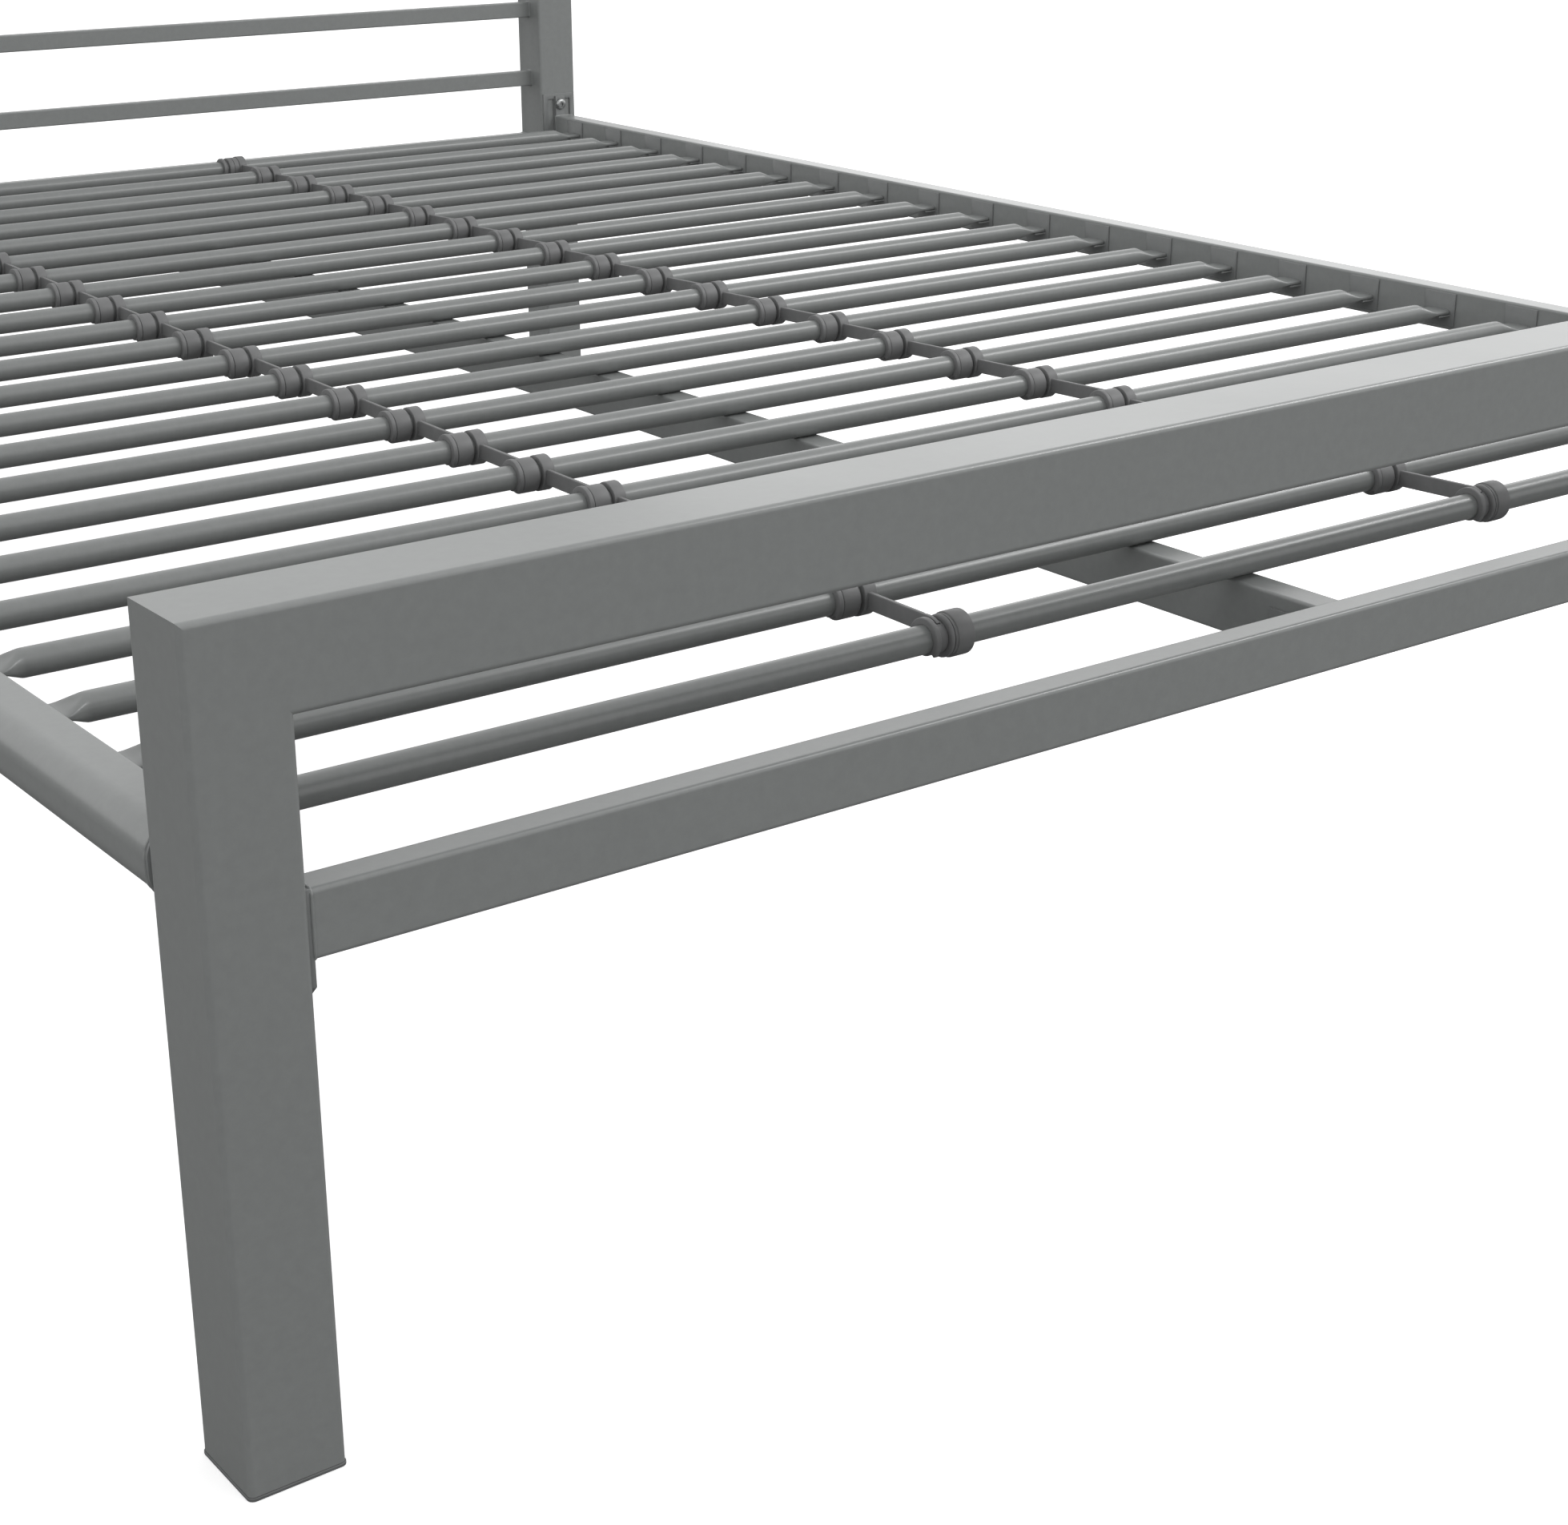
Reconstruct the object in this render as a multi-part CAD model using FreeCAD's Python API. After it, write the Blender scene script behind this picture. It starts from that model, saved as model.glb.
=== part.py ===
"""Metal bed frame: head and foot frames, side rails, centre rail and tube slats.

The frame stands on the floor at Z = 0.  X runs across the bed, Y runs from the
foot end to the head end, and the origin is at the middle of the floor outline.
All sizes are in millimetres.
"""
import FreeCAD, Part
import math
import os

Vector = FreeCAD.Vector

# Overall sizes
overall_width = 1476.0
clear_length = 1947.0
foot_height = 434.0
head_height = 922.0

# Posts and top rails, one square tube with mitred corners
post_size = 51.0
post_wall = 1.5
post_corner_radius = 3.0

# Foot caps
cap_lip = 0.6
cap_base_height = 2.0
cap_plug_height = 12.0
cap_plug_clearance = 0.2

# Side rails, tube with large outer corners
rail_width = 33.0
rail_height = 35.0
rail_wall = 1.5
rail_top_height = 324.5
rail_outer_radius = 14.0
rail_inner_radius = 2.0

# Crossbars that join the posts below the side rails
crossbar_depth = 20.0
crossbar_height = 35.0
crossbar_wall = 1.5
crossbar_radius = 2.5
crossbar_setback = 3.0
crossbar_top_height = 300.0

# Hook plates welded to the ends of the crossbars
hook_plate_thickness = 3.0
hook_plate_margin = 8.0
hook_plate_drop = 21.0
hook_plate_chamfer = 8.0
hook_bolt_rise = 10.0

# Centre rail under the slats and the cradles that hold its ends
centre_rail_width = 22.0
centre_rail_height = 35.0
centre_rail_wall = 1.5
centre_rail_radius = 2.0
centre_rail_drop = 3.1
cradle_sheet = 1.5
cradle_length = 40.0
cradle_side_height = 26.0
cradle_clearance = 0.2
cradle_bolt_inset = 24.0

# Brackets that carry the side rails on the posts
bracket_sheet = 2.0
bracket_margin = 2.5
bracket_rise = 27.5
bracket_drop = 6.0
bracket_slot_width = 8.5
bracket_slot_offset = 12.0
bracket_slot_below_top = 6.5
bracket_slot_length = 42.0
end_plate_thickness = 3.0
tongue_width = 13.0
tongue_rise = 24.5
rail_bolt_rise = 14.5

# Bars of the headboard
head_bar_height = 19.0
head_bar_depth = 9.0
head_bar_wall = 1.2
head_bar_radius = 1.5
head_bar_first_height = 371.0
head_bar_count = 6

# Slats, round tubes with flattened ends
slat_radius = 8.4
slat_count = 22
slat_foot_gap = 47.5
slat_head_gap = 51.5
slat_rest_gap = 0.2
slat_tab_length = 15.0
slat_taper_length = 17.0
slat_tab_half_width = 12.8
slat_tab_half_thickness = 2.0
slat_taper_steps = 4
slat_roundness = 0.002

# Angle brackets under the slat ends
angle_sheet = 1.5
angle_width = 34.0
angle_rise = 16.5
angle_drop = 12.5
angle_shelf_depth = 14.0
angle_shelf_width = 25.0

# Plastic links that space the slats
link_column_offset = 232.0
link_clearance = 0.1
link_lip_start = -21.0
link_lip_width = 3.5
link_lip_wall = 4.0
link_lip_opening = 96.0
link_band_width = 13.0
link_band_wall = 3.5
link_neck_wall = 1.1
link_neck_width = 7.0
link_ring_gap = 2.9
link_ring_width = 9.2
link_ring_wall = 4.0
link_strap_thickness = 2.6
link_strap_height = 11.0
link_strap_near_x = -13.5
link_strap_far_x = 4.5
link_strap_near_rise = 6.5
link_strap_far_drop = 2.0
end_collar_wall = 4.0
end_collar_width = 4.8
end_ring_wall = 4.8
end_ring_width = 11.8
end_gap = 0.3

# Bolts and nuts
bolt_diameter = 8.0
bolt_hole_clearance = 0.4
bolt_head_diameter = 14.0
bolt_head_height = 4.0
bolt_grip = 16.0
bolt_socket_across = 5.0
bolt_socket_depth = 2.5
nut_diameter = 13.0
nut_height = 6.5
small_bolt_diameter = 6.0
small_bolt_head_diameter = 11.0
small_bolt_head_height = 3.0
small_bolt_grip = 12.0
small_nut_diameter = 10.0
small_nut_height = 5.0

# Places worked out from the sizes above
half_width = overall_width / 2
half_length = clear_length / 2 + post_size
inner_end = clear_length / 2
post_centre_x = half_width - post_size / 2
rail_inner_x = half_width - rail_width
rail_bottom_height = rail_top_height - rail_height
crossbar_bottom_height = crossbar_top_height - crossbar_height
centre_rail_top = crossbar_top_height - centre_rail_drop
centre_rail_bottom = centre_rail_top - centre_rail_height
slat_height = centre_rail_top + slat_rest_gap + slat_radius
slat_end_x = rail_inner_x - angle_sheet
slat_first_y = -inner_end + slat_foot_gap
slat_pitch = (clear_length - slat_foot_gap - slat_head_gap) / (slat_count - 1)
link_bore = slat_radius + link_clearance
link_lip_end = link_lip_start + link_lip_width
link_band_end = link_lip_end + link_band_width
link_ring_start = link_band_end + link_ring_gap
link_ring_end = link_ring_start + link_ring_width
link_neck_end = link_lip_end + link_neck_width
bracket_width = post_size - 2 * bracket_margin
bracket_top = rail_top_height + bracket_rise
bracket_bottom = rail_bottom_height - bracket_drop
rail_bolt_height = rail_top_height + rail_bolt_rise
crossbar_centre_y = half_length - crossbar_setback - crossbar_depth / 2
crossbar_inner_y = crossbar_centre_y - crossbar_depth / 2
hook_plate_depth = post_size - crossbar_setback - hook_plate_margin
hook_plate_bottom = crossbar_bottom_height - hook_plate_drop
hook_bolt_height = hook_plate_bottom + hook_bolt_rise
hook_plate_front_y = half_length - crossbar_setback
hook_bolt_y = hook_plate_front_y - hook_plate_depth / 2
head_bar_span = head_height - post_size - head_bar_first_height
head_bar_pitch = (head_bar_span + head_bar_height / 2) / head_bar_count
ENDS = (-1, 1)
SIDES = (-1, 1)


def slat_y(index):
    """Place of a slat along the bed, counted from the foot end."""
    return slat_first_y + index * slat_pitch


def box(x_range, y_range, z_range):
    """Block between two corners, given as a low and a high value for each axis."""
    x0, x1 = sorted(x_range)
    y0, y1 = sorted(y_range)
    z0, z1 = sorted(z_range)
    return Part.makeBox(x1 - x0, y1 - y0, z1 - z0, Vector(x0, y0, z0))


def rod(start, direction, radius, length):
    """Round bar from a start point."""
    return Part.makeCylinder(radius, length, Vector(*start), Vector(*direction))


def rounded_outline(width, height, radii):
    """Closed outline about the origin with one radius for each corner.

    The corners run anticlockwise from the one at the low end of both axes.
    """
    corners = [(-1, -1), (1, -1), (1, 1), (-1, 1)]
    edges = []
    points = []
    for (sx, sy), radius in zip(corners, radii):
        cx = sx * (width / 2 - radius)
        cy = sy * (height / 2 - radius)
        turn = math.degrees(math.atan2(sy, sx))
        angles = [math.radians(turn + step) for step in (-45, 0, 45)]
        points.append([Vector(cx + radius * math.cos(a), cy + radius * math.sin(a), 0) for a in angles])
    for index, arc in enumerate(points):
        following = points[(index + 1) % len(points)]
        edges.append(Part.Arc(*arc).toShape())
        if arc[2].distanceToPoint(following[0]) > 1e-6:
            edges.append(Part.LineSegment(arc[2], following[0]).toShape())
    return Part.Wire(edges)


def tube(width, height, wall, radii, length):
    """Hollow tube along +Z from the origin, closed section, open ends."""
    outer = Part.Face(rounded_outline(width, height, radii))
    inner_radii = [max(radius - wall, 0.3) for radius in radii]
    inner = Part.Face(rounded_outline(width - 2 * wall, height - 2 * wall, inner_radii))
    return outer.cut(inner).extrude(Vector(0, 0, length))


def placed(shape, x_axis, y_axis, z_axis, origin):
    """Copy of a shape with its own axes turned to the three given ones."""
    matrix = FreeCAD.Matrix()
    for column, axis in enumerate((x_axis, y_axis, z_axis)):
        for row, value in enumerate(axis):
            setattr(matrix, f"A{row + 1}{column + 1}", value)
    matrix.A14, matrix.A24, matrix.A34 = origin
    copy = shape.copy()
    copy.Placement = FreeCAD.Placement(matrix)
    return copy


def mirrored(shape, normal):
    """Mirror image of a shape in the plane through the origin."""
    return shape.mirror(Vector(0, 0, 0), Vector(*normal))


def tube_along_x(depth, height, wall, radius, start, length):
    """Rectangular tube along +X whose section is centred on the start point."""
    blank = tube(depth, height, wall, [radius] * 4, length)
    return placed(blank, (0, 1, 0), (0, 0, 1), (1, 0, 0), start)


def tube_along_y(width, height, wall, radii, start, length):
    """Tube along +Y whose section is centred on the start point."""
    blank = tube(width, height, wall, radii, length)
    return placed(blank, (-1, 0, 0), (0, 0, 1), (0, 1, 0), start)


def bolt(start, direction, diameter, head_diameter, head_height, grip):
    """Button-head bolt: the start point is under the head, the shank runs along the direction."""
    axis = Vector(*direction)
    back = axis * -head_height
    head = Part.makeCylinder(head_diameter / 2, head_height, Vector(*start) + back, axis)
    top = Vector(*start) + back
    rim = [edge for edge in head.Edges if edge.BoundBox.Center.distanceToPoint(top) < 1e-6]
    head = head.makeFillet(head_height * 0.45, rim[:1])
    shank = rod(start, direction, diameter / 2, grip)
    socket = Part.makeCylinder(bolt_socket_across / 2, bolt_socket_depth, Vector(*start) + back, axis)
    return head.fuse(shank).cut(socket)


def nut(start, direction, diameter, height, bore_diameter):
    """Round weld nut that starts at a wall face."""
    return rod(start, direction, diameter / 2, height).cut(rod(start, direction, bore_diameter / 2, height))


def mitre_block(height, end):
    """Half space under the two mitre planes of a post and top rail frame."""
    reach = half_width + post_size
    inner = half_width - post_size
    outline = [
        Vector(-reach, 0, -post_size),
        Vector(reach, 0, -post_size),
        Vector(reach, 0, height + reach - half_width),
        Vector(inner, 0, height - post_size),
        Vector(-inner, 0, height - post_size),
        Vector(-reach, 0, height + reach - half_width),
    ]
    face = Part.Face(Part.makePolygon(outline + outline[:1]))
    block = face.extrude(Vector(0, 2 * post_size, 0))
    block.translate(Vector(0, end * (half_length - post_size / 2) - post_size, 0))
    return block


def post_holes(side, end):
    """Holes in a post for the side rail bolt and the crossbar bolt."""
    radius = (bolt_diameter + bolt_hole_clearance) / 2
    rail_start = (side * post_centre_x, end * (inner_end - 1), rail_bolt_height)
    rail_hole = rod(rail_start, (0, end, 0), radius, post_wall + 2)
    face_x = half_width - post_size
    hook_start = (side * (face_x - 1), end * hook_bolt_y, hook_bolt_height)
    hook_hole = rod(hook_start, (side, 0, 0), radius, post_wall + 2)
    return rail_hole.fuse(hook_hole)


def post(side, end, height):
    """Upright square tube with a mitred top."""
    blank = tube(post_size, post_size, post_wall, [post_corner_radius] * 4, height - cap_base_height)
    blank.translate(Vector(side * post_centre_x, end * (half_length - post_size / 2), cap_base_height))
    return blank.common(mitre_block(height, end)).cut(post_holes(side, end))


def top_rail(end, height):
    """Square tube across the top of two posts with mitred ends."""
    start = (-half_width, end * (half_length - post_size / 2), height - post_size / 2)
    blank = tube_along_x(post_size, post_size, post_wall, post_corner_radius, start, overall_width)
    return blank.cut(mitre_block(height, end))


def foot_cap(side, end):
    """Plastic cap with a plug inside the foot of a post."""
    base_size = post_size + 2 * cap_lip
    plug_size = post_size - 2 * post_wall - 2 * cap_plug_clearance
    base_face = Part.Face(rounded_outline(base_size, base_size, [post_corner_radius + cap_lip] * 4))
    plug_face = Part.Face(rounded_outline(plug_size, plug_size, [post_corner_radius - post_wall] * 4))
    base = base_face.extrude(Vector(0, 0, cap_base_height))
    plug = plug_face.extrude(Vector(0, 0, cap_base_height + cap_plug_height))
    cap = base.fuse(plug)
    cap.translate(Vector(side * post_centre_x, end * (half_length - post_size / 2), 0))
    return cap


def head_bar(index):
    """Slim bar between the head posts."""
    span = overall_width - 2 * post_size
    height = head_bar_first_height + index * head_bar_pitch
    start = (-span / 2, half_length - post_size / 2, height)
    return tube_along_x(head_bar_depth, head_bar_height, head_bar_wall, head_bar_radius, start, span)


def crossbar(end):
    """Tube between the posts below the side rails, between its hook plates."""
    span = overall_width - 2 * (post_size + hook_plate_thickness)
    height = crossbar_top_height - crossbar_height / 2
    start = (-span / 2, end * crossbar_centre_y, height)
    return tube_along_x(crossbar_depth, crossbar_height, crossbar_wall, crossbar_radius, start, span)


def hook_plate(side, end):
    """Plate welded to a crossbar end and bolted to the inside of a post."""
    front = hook_plate_front_y
    back = front - hook_plate_depth
    cut = hook_plate_chamfer
    outline = [
        (front, crossbar_top_height),
        (front, hook_plate_bottom + cut),
        (front - cut, hook_plate_bottom),
        (back + cut, hook_plate_bottom),
        (back, hook_plate_bottom + cut),
        (back, crossbar_top_height - cut),
        (back + cut, crossbar_top_height),
    ]
    face_x = side * (half_width - post_size)
    points = [Vector(face_x, end * y, z) for y, z in outline]
    thickness = Vector(-side * hook_plate_thickness, 0, 0)
    plate = Part.Face(Part.makePolygon(points + points[:1])).extrude(thickness)
    hole_radius = (bolt_diameter + bolt_hole_clearance) / 2
    hole_start = (face_x - side * (hook_plate_thickness + 1), end * hook_bolt_y, hook_bolt_height)
    return plate.cut(rod(hole_start, (side, 0, 0), hole_radius, hook_plate_thickness + 2))


def hook_bolt(side, end):
    """Bolt through a hook plate into its post."""
    start = (side * (half_width - post_size - hook_plate_thickness), end * hook_bolt_y, hook_bolt_height)
    return bolt(start, (side, 0, 0), bolt_diameter, bolt_head_diameter, bolt_head_height, bolt_grip)


def hook_nut(side, end):
    """Weld nut inside a post for the crossbar bolt."""
    start = (side * (half_width - post_size + post_wall), end * hook_bolt_y, hook_bolt_height)
    return nut(start, (side, 0, 0), nut_diameter, nut_height, bolt_diameter)


def side_rail(side):
    """Long tube with large outer corners, between its two end plates."""
    length = clear_length - 2 * (bracket_sheet + end_plate_thickness)
    big, small = rail_outer_radius, rail_inner_radius
    radii = [small, big, big, small]
    start = (-half_width + rail_width / 2, -length / 2, rail_top_height - rail_height / 2)
    left = tube_along_y(rail_width, rail_height, rail_wall, radii, start, length)
    return left if side < 0 else mirrored(left, (1, 0, 0))


def rail_end_plate(side, end):
    """Plate welded to a side rail end with a tongue that is bolted to the post bracket."""
    face_y = end * (inner_end - bracket_sheet)
    small = rail_inner_radius
    radii = [rail_outer_radius, small, small, rail_outer_radius]
    face = Part.Face(rounded_outline(rail_width, rail_height, radii))
    plate = face.extrude(Vector(0, 0, end_plate_thickness))
    plate = placed(plate, (1, 0, 0), (0, 0, 1), (0, -1, 0), (0, 0, 0))
    shift_y = face_y if end > 0 else face_y + end_plate_thickness
    plate.translate(Vector(-half_width + rail_width / 2, shift_y, rail_top_height - rail_height / 2))
    tongue = box(
        (-post_centre_x - tongue_width / 2, -post_centre_x + tongue_width / 2),
        (face_y, face_y - end * end_plate_thickness),
        (rail_top_height - rail_height / 2, rail_top_height + tongue_rise),
    )
    plate = plate.fuse(tongue).removeSplitter()
    hole_start = (-post_centre_x, face_y + end, rail_bolt_height)
    hole_radius = (bolt_diameter + bolt_hole_clearance) / 2
    plate = plate.cut(rod(hole_start, (0, -end, 0), hole_radius, end_plate_thickness + 2))
    return plate if side < 0 else mirrored(plate, (1, 0, 0))


def post_bracket(side, end):
    """Slotted plate welded to the face of a post that looks along the bed."""
    face_y = end * inner_end
    x_mid = side * post_centre_x
    y_range = (face_y, face_y - end * bracket_sheet)
    x_range = (x_mid - bracket_width / 2, x_mid + bracket_width / 2)
    plate = box(x_range, y_range, (bracket_bottom, bracket_top))
    slot_top = bracket_top - bracket_slot_below_top
    for across in (-1, 1):
        slot_x = x_mid + across * bracket_slot_offset
        slot_range = (slot_x - bracket_slot_width / 2, slot_x + bracket_slot_width / 2)
        deep = (face_y + end, face_y - end * (bracket_sheet + 1))
        plate = plate.cut(box(slot_range, deep, (slot_top - bracket_slot_length, slot_top)))
    hole_start = (x_mid, face_y + end, rail_bolt_height)
    hole_radius = (bolt_diameter + bolt_hole_clearance) / 2
    return plate.cut(rod(hole_start, (0, -end, 0), hole_radius, bracket_sheet + 2))


def rail_bolt(side, end):
    """Bolt through a side rail tongue and its bracket into the post."""
    start_y = end * (inner_end - bracket_sheet - end_plate_thickness)
    start = (side * post_centre_x, start_y, rail_bolt_height)
    return bolt(start, (0, end, 0), bolt_diameter, bolt_head_diameter, bolt_head_height, bolt_grip)


def rail_nut(side, end):
    """Weld nut inside a post for the side rail bolt."""
    start = (side * post_centre_x, end * (inner_end + post_wall), rail_bolt_height)
    return nut(start, (0, end, 0), nut_diameter, nut_height, bolt_diameter)


def centre_rail():
    """Tube along the middle of the bed from one crossbar to the other."""
    length = 2 * (crossbar_inner_y - cradle_sheet)
    start = (0, -length / 2, centre_rail_top - centre_rail_height / 2)
    radii = [centre_rail_radius] * 4
    rail = tube_along_y(centre_rail_width, centre_rail_height, centre_rail_wall, radii, start, length)
    hole_radius = (small_bolt_diameter + bolt_hole_clearance) / 2
    for end in ENDS:
        hole_start = (0, end * (crossbar_inner_y - cradle_bolt_inset), centre_rail_bottom - 1)
        rail = rail.cut(rod(hole_start, (0, 0, 1), hole_radius, centre_rail_wall + 2))
    return rail


def cradle(end):
    """Folded cradle welded to a crossbar that holds one end of the centre rail."""
    gap = cradle_clearance
    outer_half = centre_rail_width / 2 + gap + cradle_sheet
    back_y = end * crossbar_inner_y
    front_y = back_y - end * cradle_length
    floor_top = centre_rail_bottom
    height_range = (floor_top - cradle_sheet, floor_top + cradle_side_height)
    solid = box((-outer_half, outer_half), (back_y, front_y), height_range)
    room = box(
        (-outer_half + cradle_sheet, outer_half - cradle_sheet),
        (back_y - end * cradle_sheet, front_y - end),
        (floor_top, floor_top + cradle_side_height + 1),
    )
    hole_radius = (small_bolt_diameter + bolt_hole_clearance) / 2
    hole_start = (0, end * (crossbar_inner_y - cradle_bolt_inset), floor_top - cradle_sheet - 1)
    return solid.cut(room).cut(rod(hole_start, (0, 0, 1), hole_radius, cradle_sheet + 2))


def cradle_bolt(end):
    """Bolt up through a cradle into the centre rail."""
    start = (0, end * (crossbar_inner_y - cradle_bolt_inset), centre_rail_bottom - cradle_sheet)
    head_size = (small_bolt_head_diameter, small_bolt_head_height)
    return bolt(start, (0, 0, 1), small_bolt_diameter, *head_size, small_bolt_grip)


def cradle_nut(end):
    """Nut inside the centre rail for the cradle bolt."""
    start = (0, end * (crossbar_inner_y - cradle_bolt_inset), centre_rail_bottom + centre_rail_wall)
    return nut(start, (0, 0, 1), small_nut_diameter, small_nut_height, small_bolt_diameter)


def oval_wire(x, half_width_y, half_height_z):
    """Oval section of a slat across X, wider along Y once it is flattened."""
    ellipse = Part.Ellipse(Vector(x, half_width_y, 0), Vector(x, 0, half_height_z), Vector(x, 0, 0))
    return Part.Wire([ellipse.toShape()])


def slat_blank():
    """Round tube slat about the X axis whose ends taper into flat tabs."""
    round_end = slat_end_x - slat_tab_length - slat_taper_length
    tab_start = slat_end_x - slat_tab_length
    round_width = slat_radius + slat_roundness
    body_face = Part.Face(oval_wire(-round_end, round_width, slat_radius))
    body = body_face.extrude(Vector(2 * round_end, 0, 0))
    sections = []
    for step in range(slat_taper_steps + 1):
        share = step / slat_taper_steps
        blend = 0.5 - 0.5 * math.cos(math.pi * share)
        wide = round_width + (slat_tab_half_width - round_width) * blend
        thick = slat_radius + (slat_tab_half_thickness - slat_radius) * blend
        sections.append(oval_wire(round_end + slat_taper_length * share, wide, thick))
    taper = Part.makeLoft(sections, True, False)
    tab_face = Part.Face(oval_wire(tab_start, slat_tab_half_width, slat_tab_half_thickness))
    tab = tab_face.extrude(Vector(slat_tab_length, 0, 0))
    right_end = [taper, tab]
    left_end = [mirrored(piece, (1, 0, 0)) for piece in right_end]
    return body.fuse(right_end + left_end)


def angle_blank(side):
    """Angle bracket for a side rail with a shelf under a slat tab, about the slat's axis."""
    wall_x = side * rail_inner_x
    wall = box(
        (wall_x, wall_x - side * angle_sheet),
        (-angle_width / 2, angle_width / 2),
        (-angle_drop, angle_rise),
    )
    shelf = box(
        (wall_x, wall_x - side * (angle_sheet + angle_shelf_depth)),
        (-angle_shelf_width / 2, angle_shelf_width / 2),
        (-slat_tab_half_thickness - angle_sheet, -slat_tab_half_thickness),
    )
    return wall.fuse(shelf).removeSplitter()


def turned(outline, opening=0.0):
    """Ring about the slat axis from its half section, given along X and out from the axis.

    The opening is the angle that is left out at the bottom of the ring.
    """
    points = [Vector(x, 0, radius) for x, radius in outline]
    face = Part.Face(Part.makePolygon(points + points[:1]))
    face.rotate(Vector(0, 0, 0), Vector(1, 0, 0), 180 + opening / 2)
    return face.revolve(Vector(0, 0, 0), Vector(1, 0, 0), 360 - opening)


def plain_ring(x_start, x_end, wall, opening=0.0):
    """Ring of one thickness on a slat."""
    outer = link_bore + wall
    outline = [(x_start, link_bore), (x_end, link_bore), (x_end, outer), (x_start, outer)]
    return turned(outline, opening)


def lip_shell(body_end, body_wall):
    """Shell on a slat: a raised lip that is open below and a plain body that ends at a given place."""
    sleeve = plain_ring(link_lip_start, body_end, link_neck_wall)
    lip = plain_ring(link_lip_start, link_lip_end, link_lip_wall, link_lip_opening)
    if body_wall > link_neck_wall:
        sleeve = sleeve.fuse(plain_ring(link_lip_end, body_end, body_wall))
    return sleeve.fuse(lip).removeSplitter()


def strap_section(y, x_middle, z_middle):
    """Upright cross section of a link's strap at one place along the bed."""
    across = link_strap_thickness / 2
    up = link_strap_height / 2
    corners = [(-across, -up), (across, -up), (across, up), (-across, up)]
    points = [Vector(x_middle + x, y, z_middle + z) for x, z in corners]
    return Part.makePolygon(points + points[:1])


def link_blank(first, last):
    """Plastic link from one slat to the next slat towards the head, about the near slat's axis.

    A lipped shell sits on the near slat and a plain ring on the far slat.  An upright
    strap runs from the back of the shell down to the front of the ring.  The first link
    leaves room for the foot ring.  The last one leaves room for the head spool and has
    a larger far ring.
    """
    shell = lip_shell(link_neck_end, link_neck_wall) if first else lip_shell(link_band_end, link_band_wall)
    far = plain_ring(link_ring_start, link_ring_end, end_ring_wall if last else link_ring_wall)
    far.translate(Vector(0, slat_pitch, 0))
    near_section = strap_section(0, link_strap_near_x, link_strap_near_rise)
    far_section = strap_section(slat_pitch, link_strap_far_x, -link_strap_far_drop)
    strap = Part.makeLoft([near_section, far_section], True, True)
    seat_radius = link_bore + link_neck_wall / 2
    width = link_ring_end - link_lip_start
    for y in (0, slat_pitch):
        strap = strap.cut(rod((link_lip_start, y, 0), (1, 0, 0), seat_radius, width))
    room = link_bore + end_collar_wall + end_gap
    if first:
        strap = strap.cut(rod((link_neck_end, 0, 0), (1, 0, 0), room, link_ring_end - link_neck_end))
    if last:
        width = link_ring_start - link_lip_start
        strap = strap.cut(rod((link_lip_start, slat_pitch, 0), (1, 0, 0), room, width))
    return far.fuse([shell, strap])


def foot_ring():
    """Stepped ring that closes a row of links on the slat at the foot."""
    start = link_neck_end + end_gap
    collar_end = start + end_collar_width
    collar = plain_ring(start, collar_end, end_collar_wall)
    return collar.fuse(plain_ring(collar_end, collar_end + end_ring_width, end_ring_wall)).removeSplitter()


def head_spool():
    """Lipped and stepped ring beside the last link on the slat at the head."""
    collar_start = link_lip_end + link_neck_width / 2
    neck = lip_shell(collar_start, link_neck_wall)
    collar = plain_ring(collar_start, link_ring_start - end_gap, end_collar_wall)
    return neck.fuse(collar).removeSplitter()


def at_slat(blank, index, across=0.0):
    """Copy of a blank moved to a slat's axis, with a shift across the bed."""
    copy = blank.copy()
    copy.translate(Vector(across, slat_y(index), slat_height))
    return copy


def write(name, shapes):
    """Write one node, which may hold several separate solids."""
    solids = []
    for shape in shapes:
        solids.extend(shape.Solids)
    whole = solids[0] if len(solids) == 1 else Part.makeCompound(solids)
    bad = [solid for solid in solids if not solid.isValid() or solid.Volume <= 0]
    print(f"{name}: {len(solids)} solids, {whole.Volume / 1000:.1f} cm3{', NOT VALID' if bad else ''}")
    whole.exportStep(f"parts/{name}.step")


def write_end_frame(name, end, height):
    """Write the posts, top rail, crossbar and hook plates of one end of the bed."""
    write(f"{name}_post_left", [post(-1, end, height)])
    write(f"{name}_post_right", [post(1, end, height)])
    write(f"{name}_top_rail", [top_rail(end, height)])
    write(f"{name}_crossbar", [crossbar(end)])
    write(f"{name}_hook_plates", [hook_plate(side, end) for side in SIDES])
    write(f"{name}_post_brackets", [post_bracket(side, end) for side in SIDES])


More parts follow.
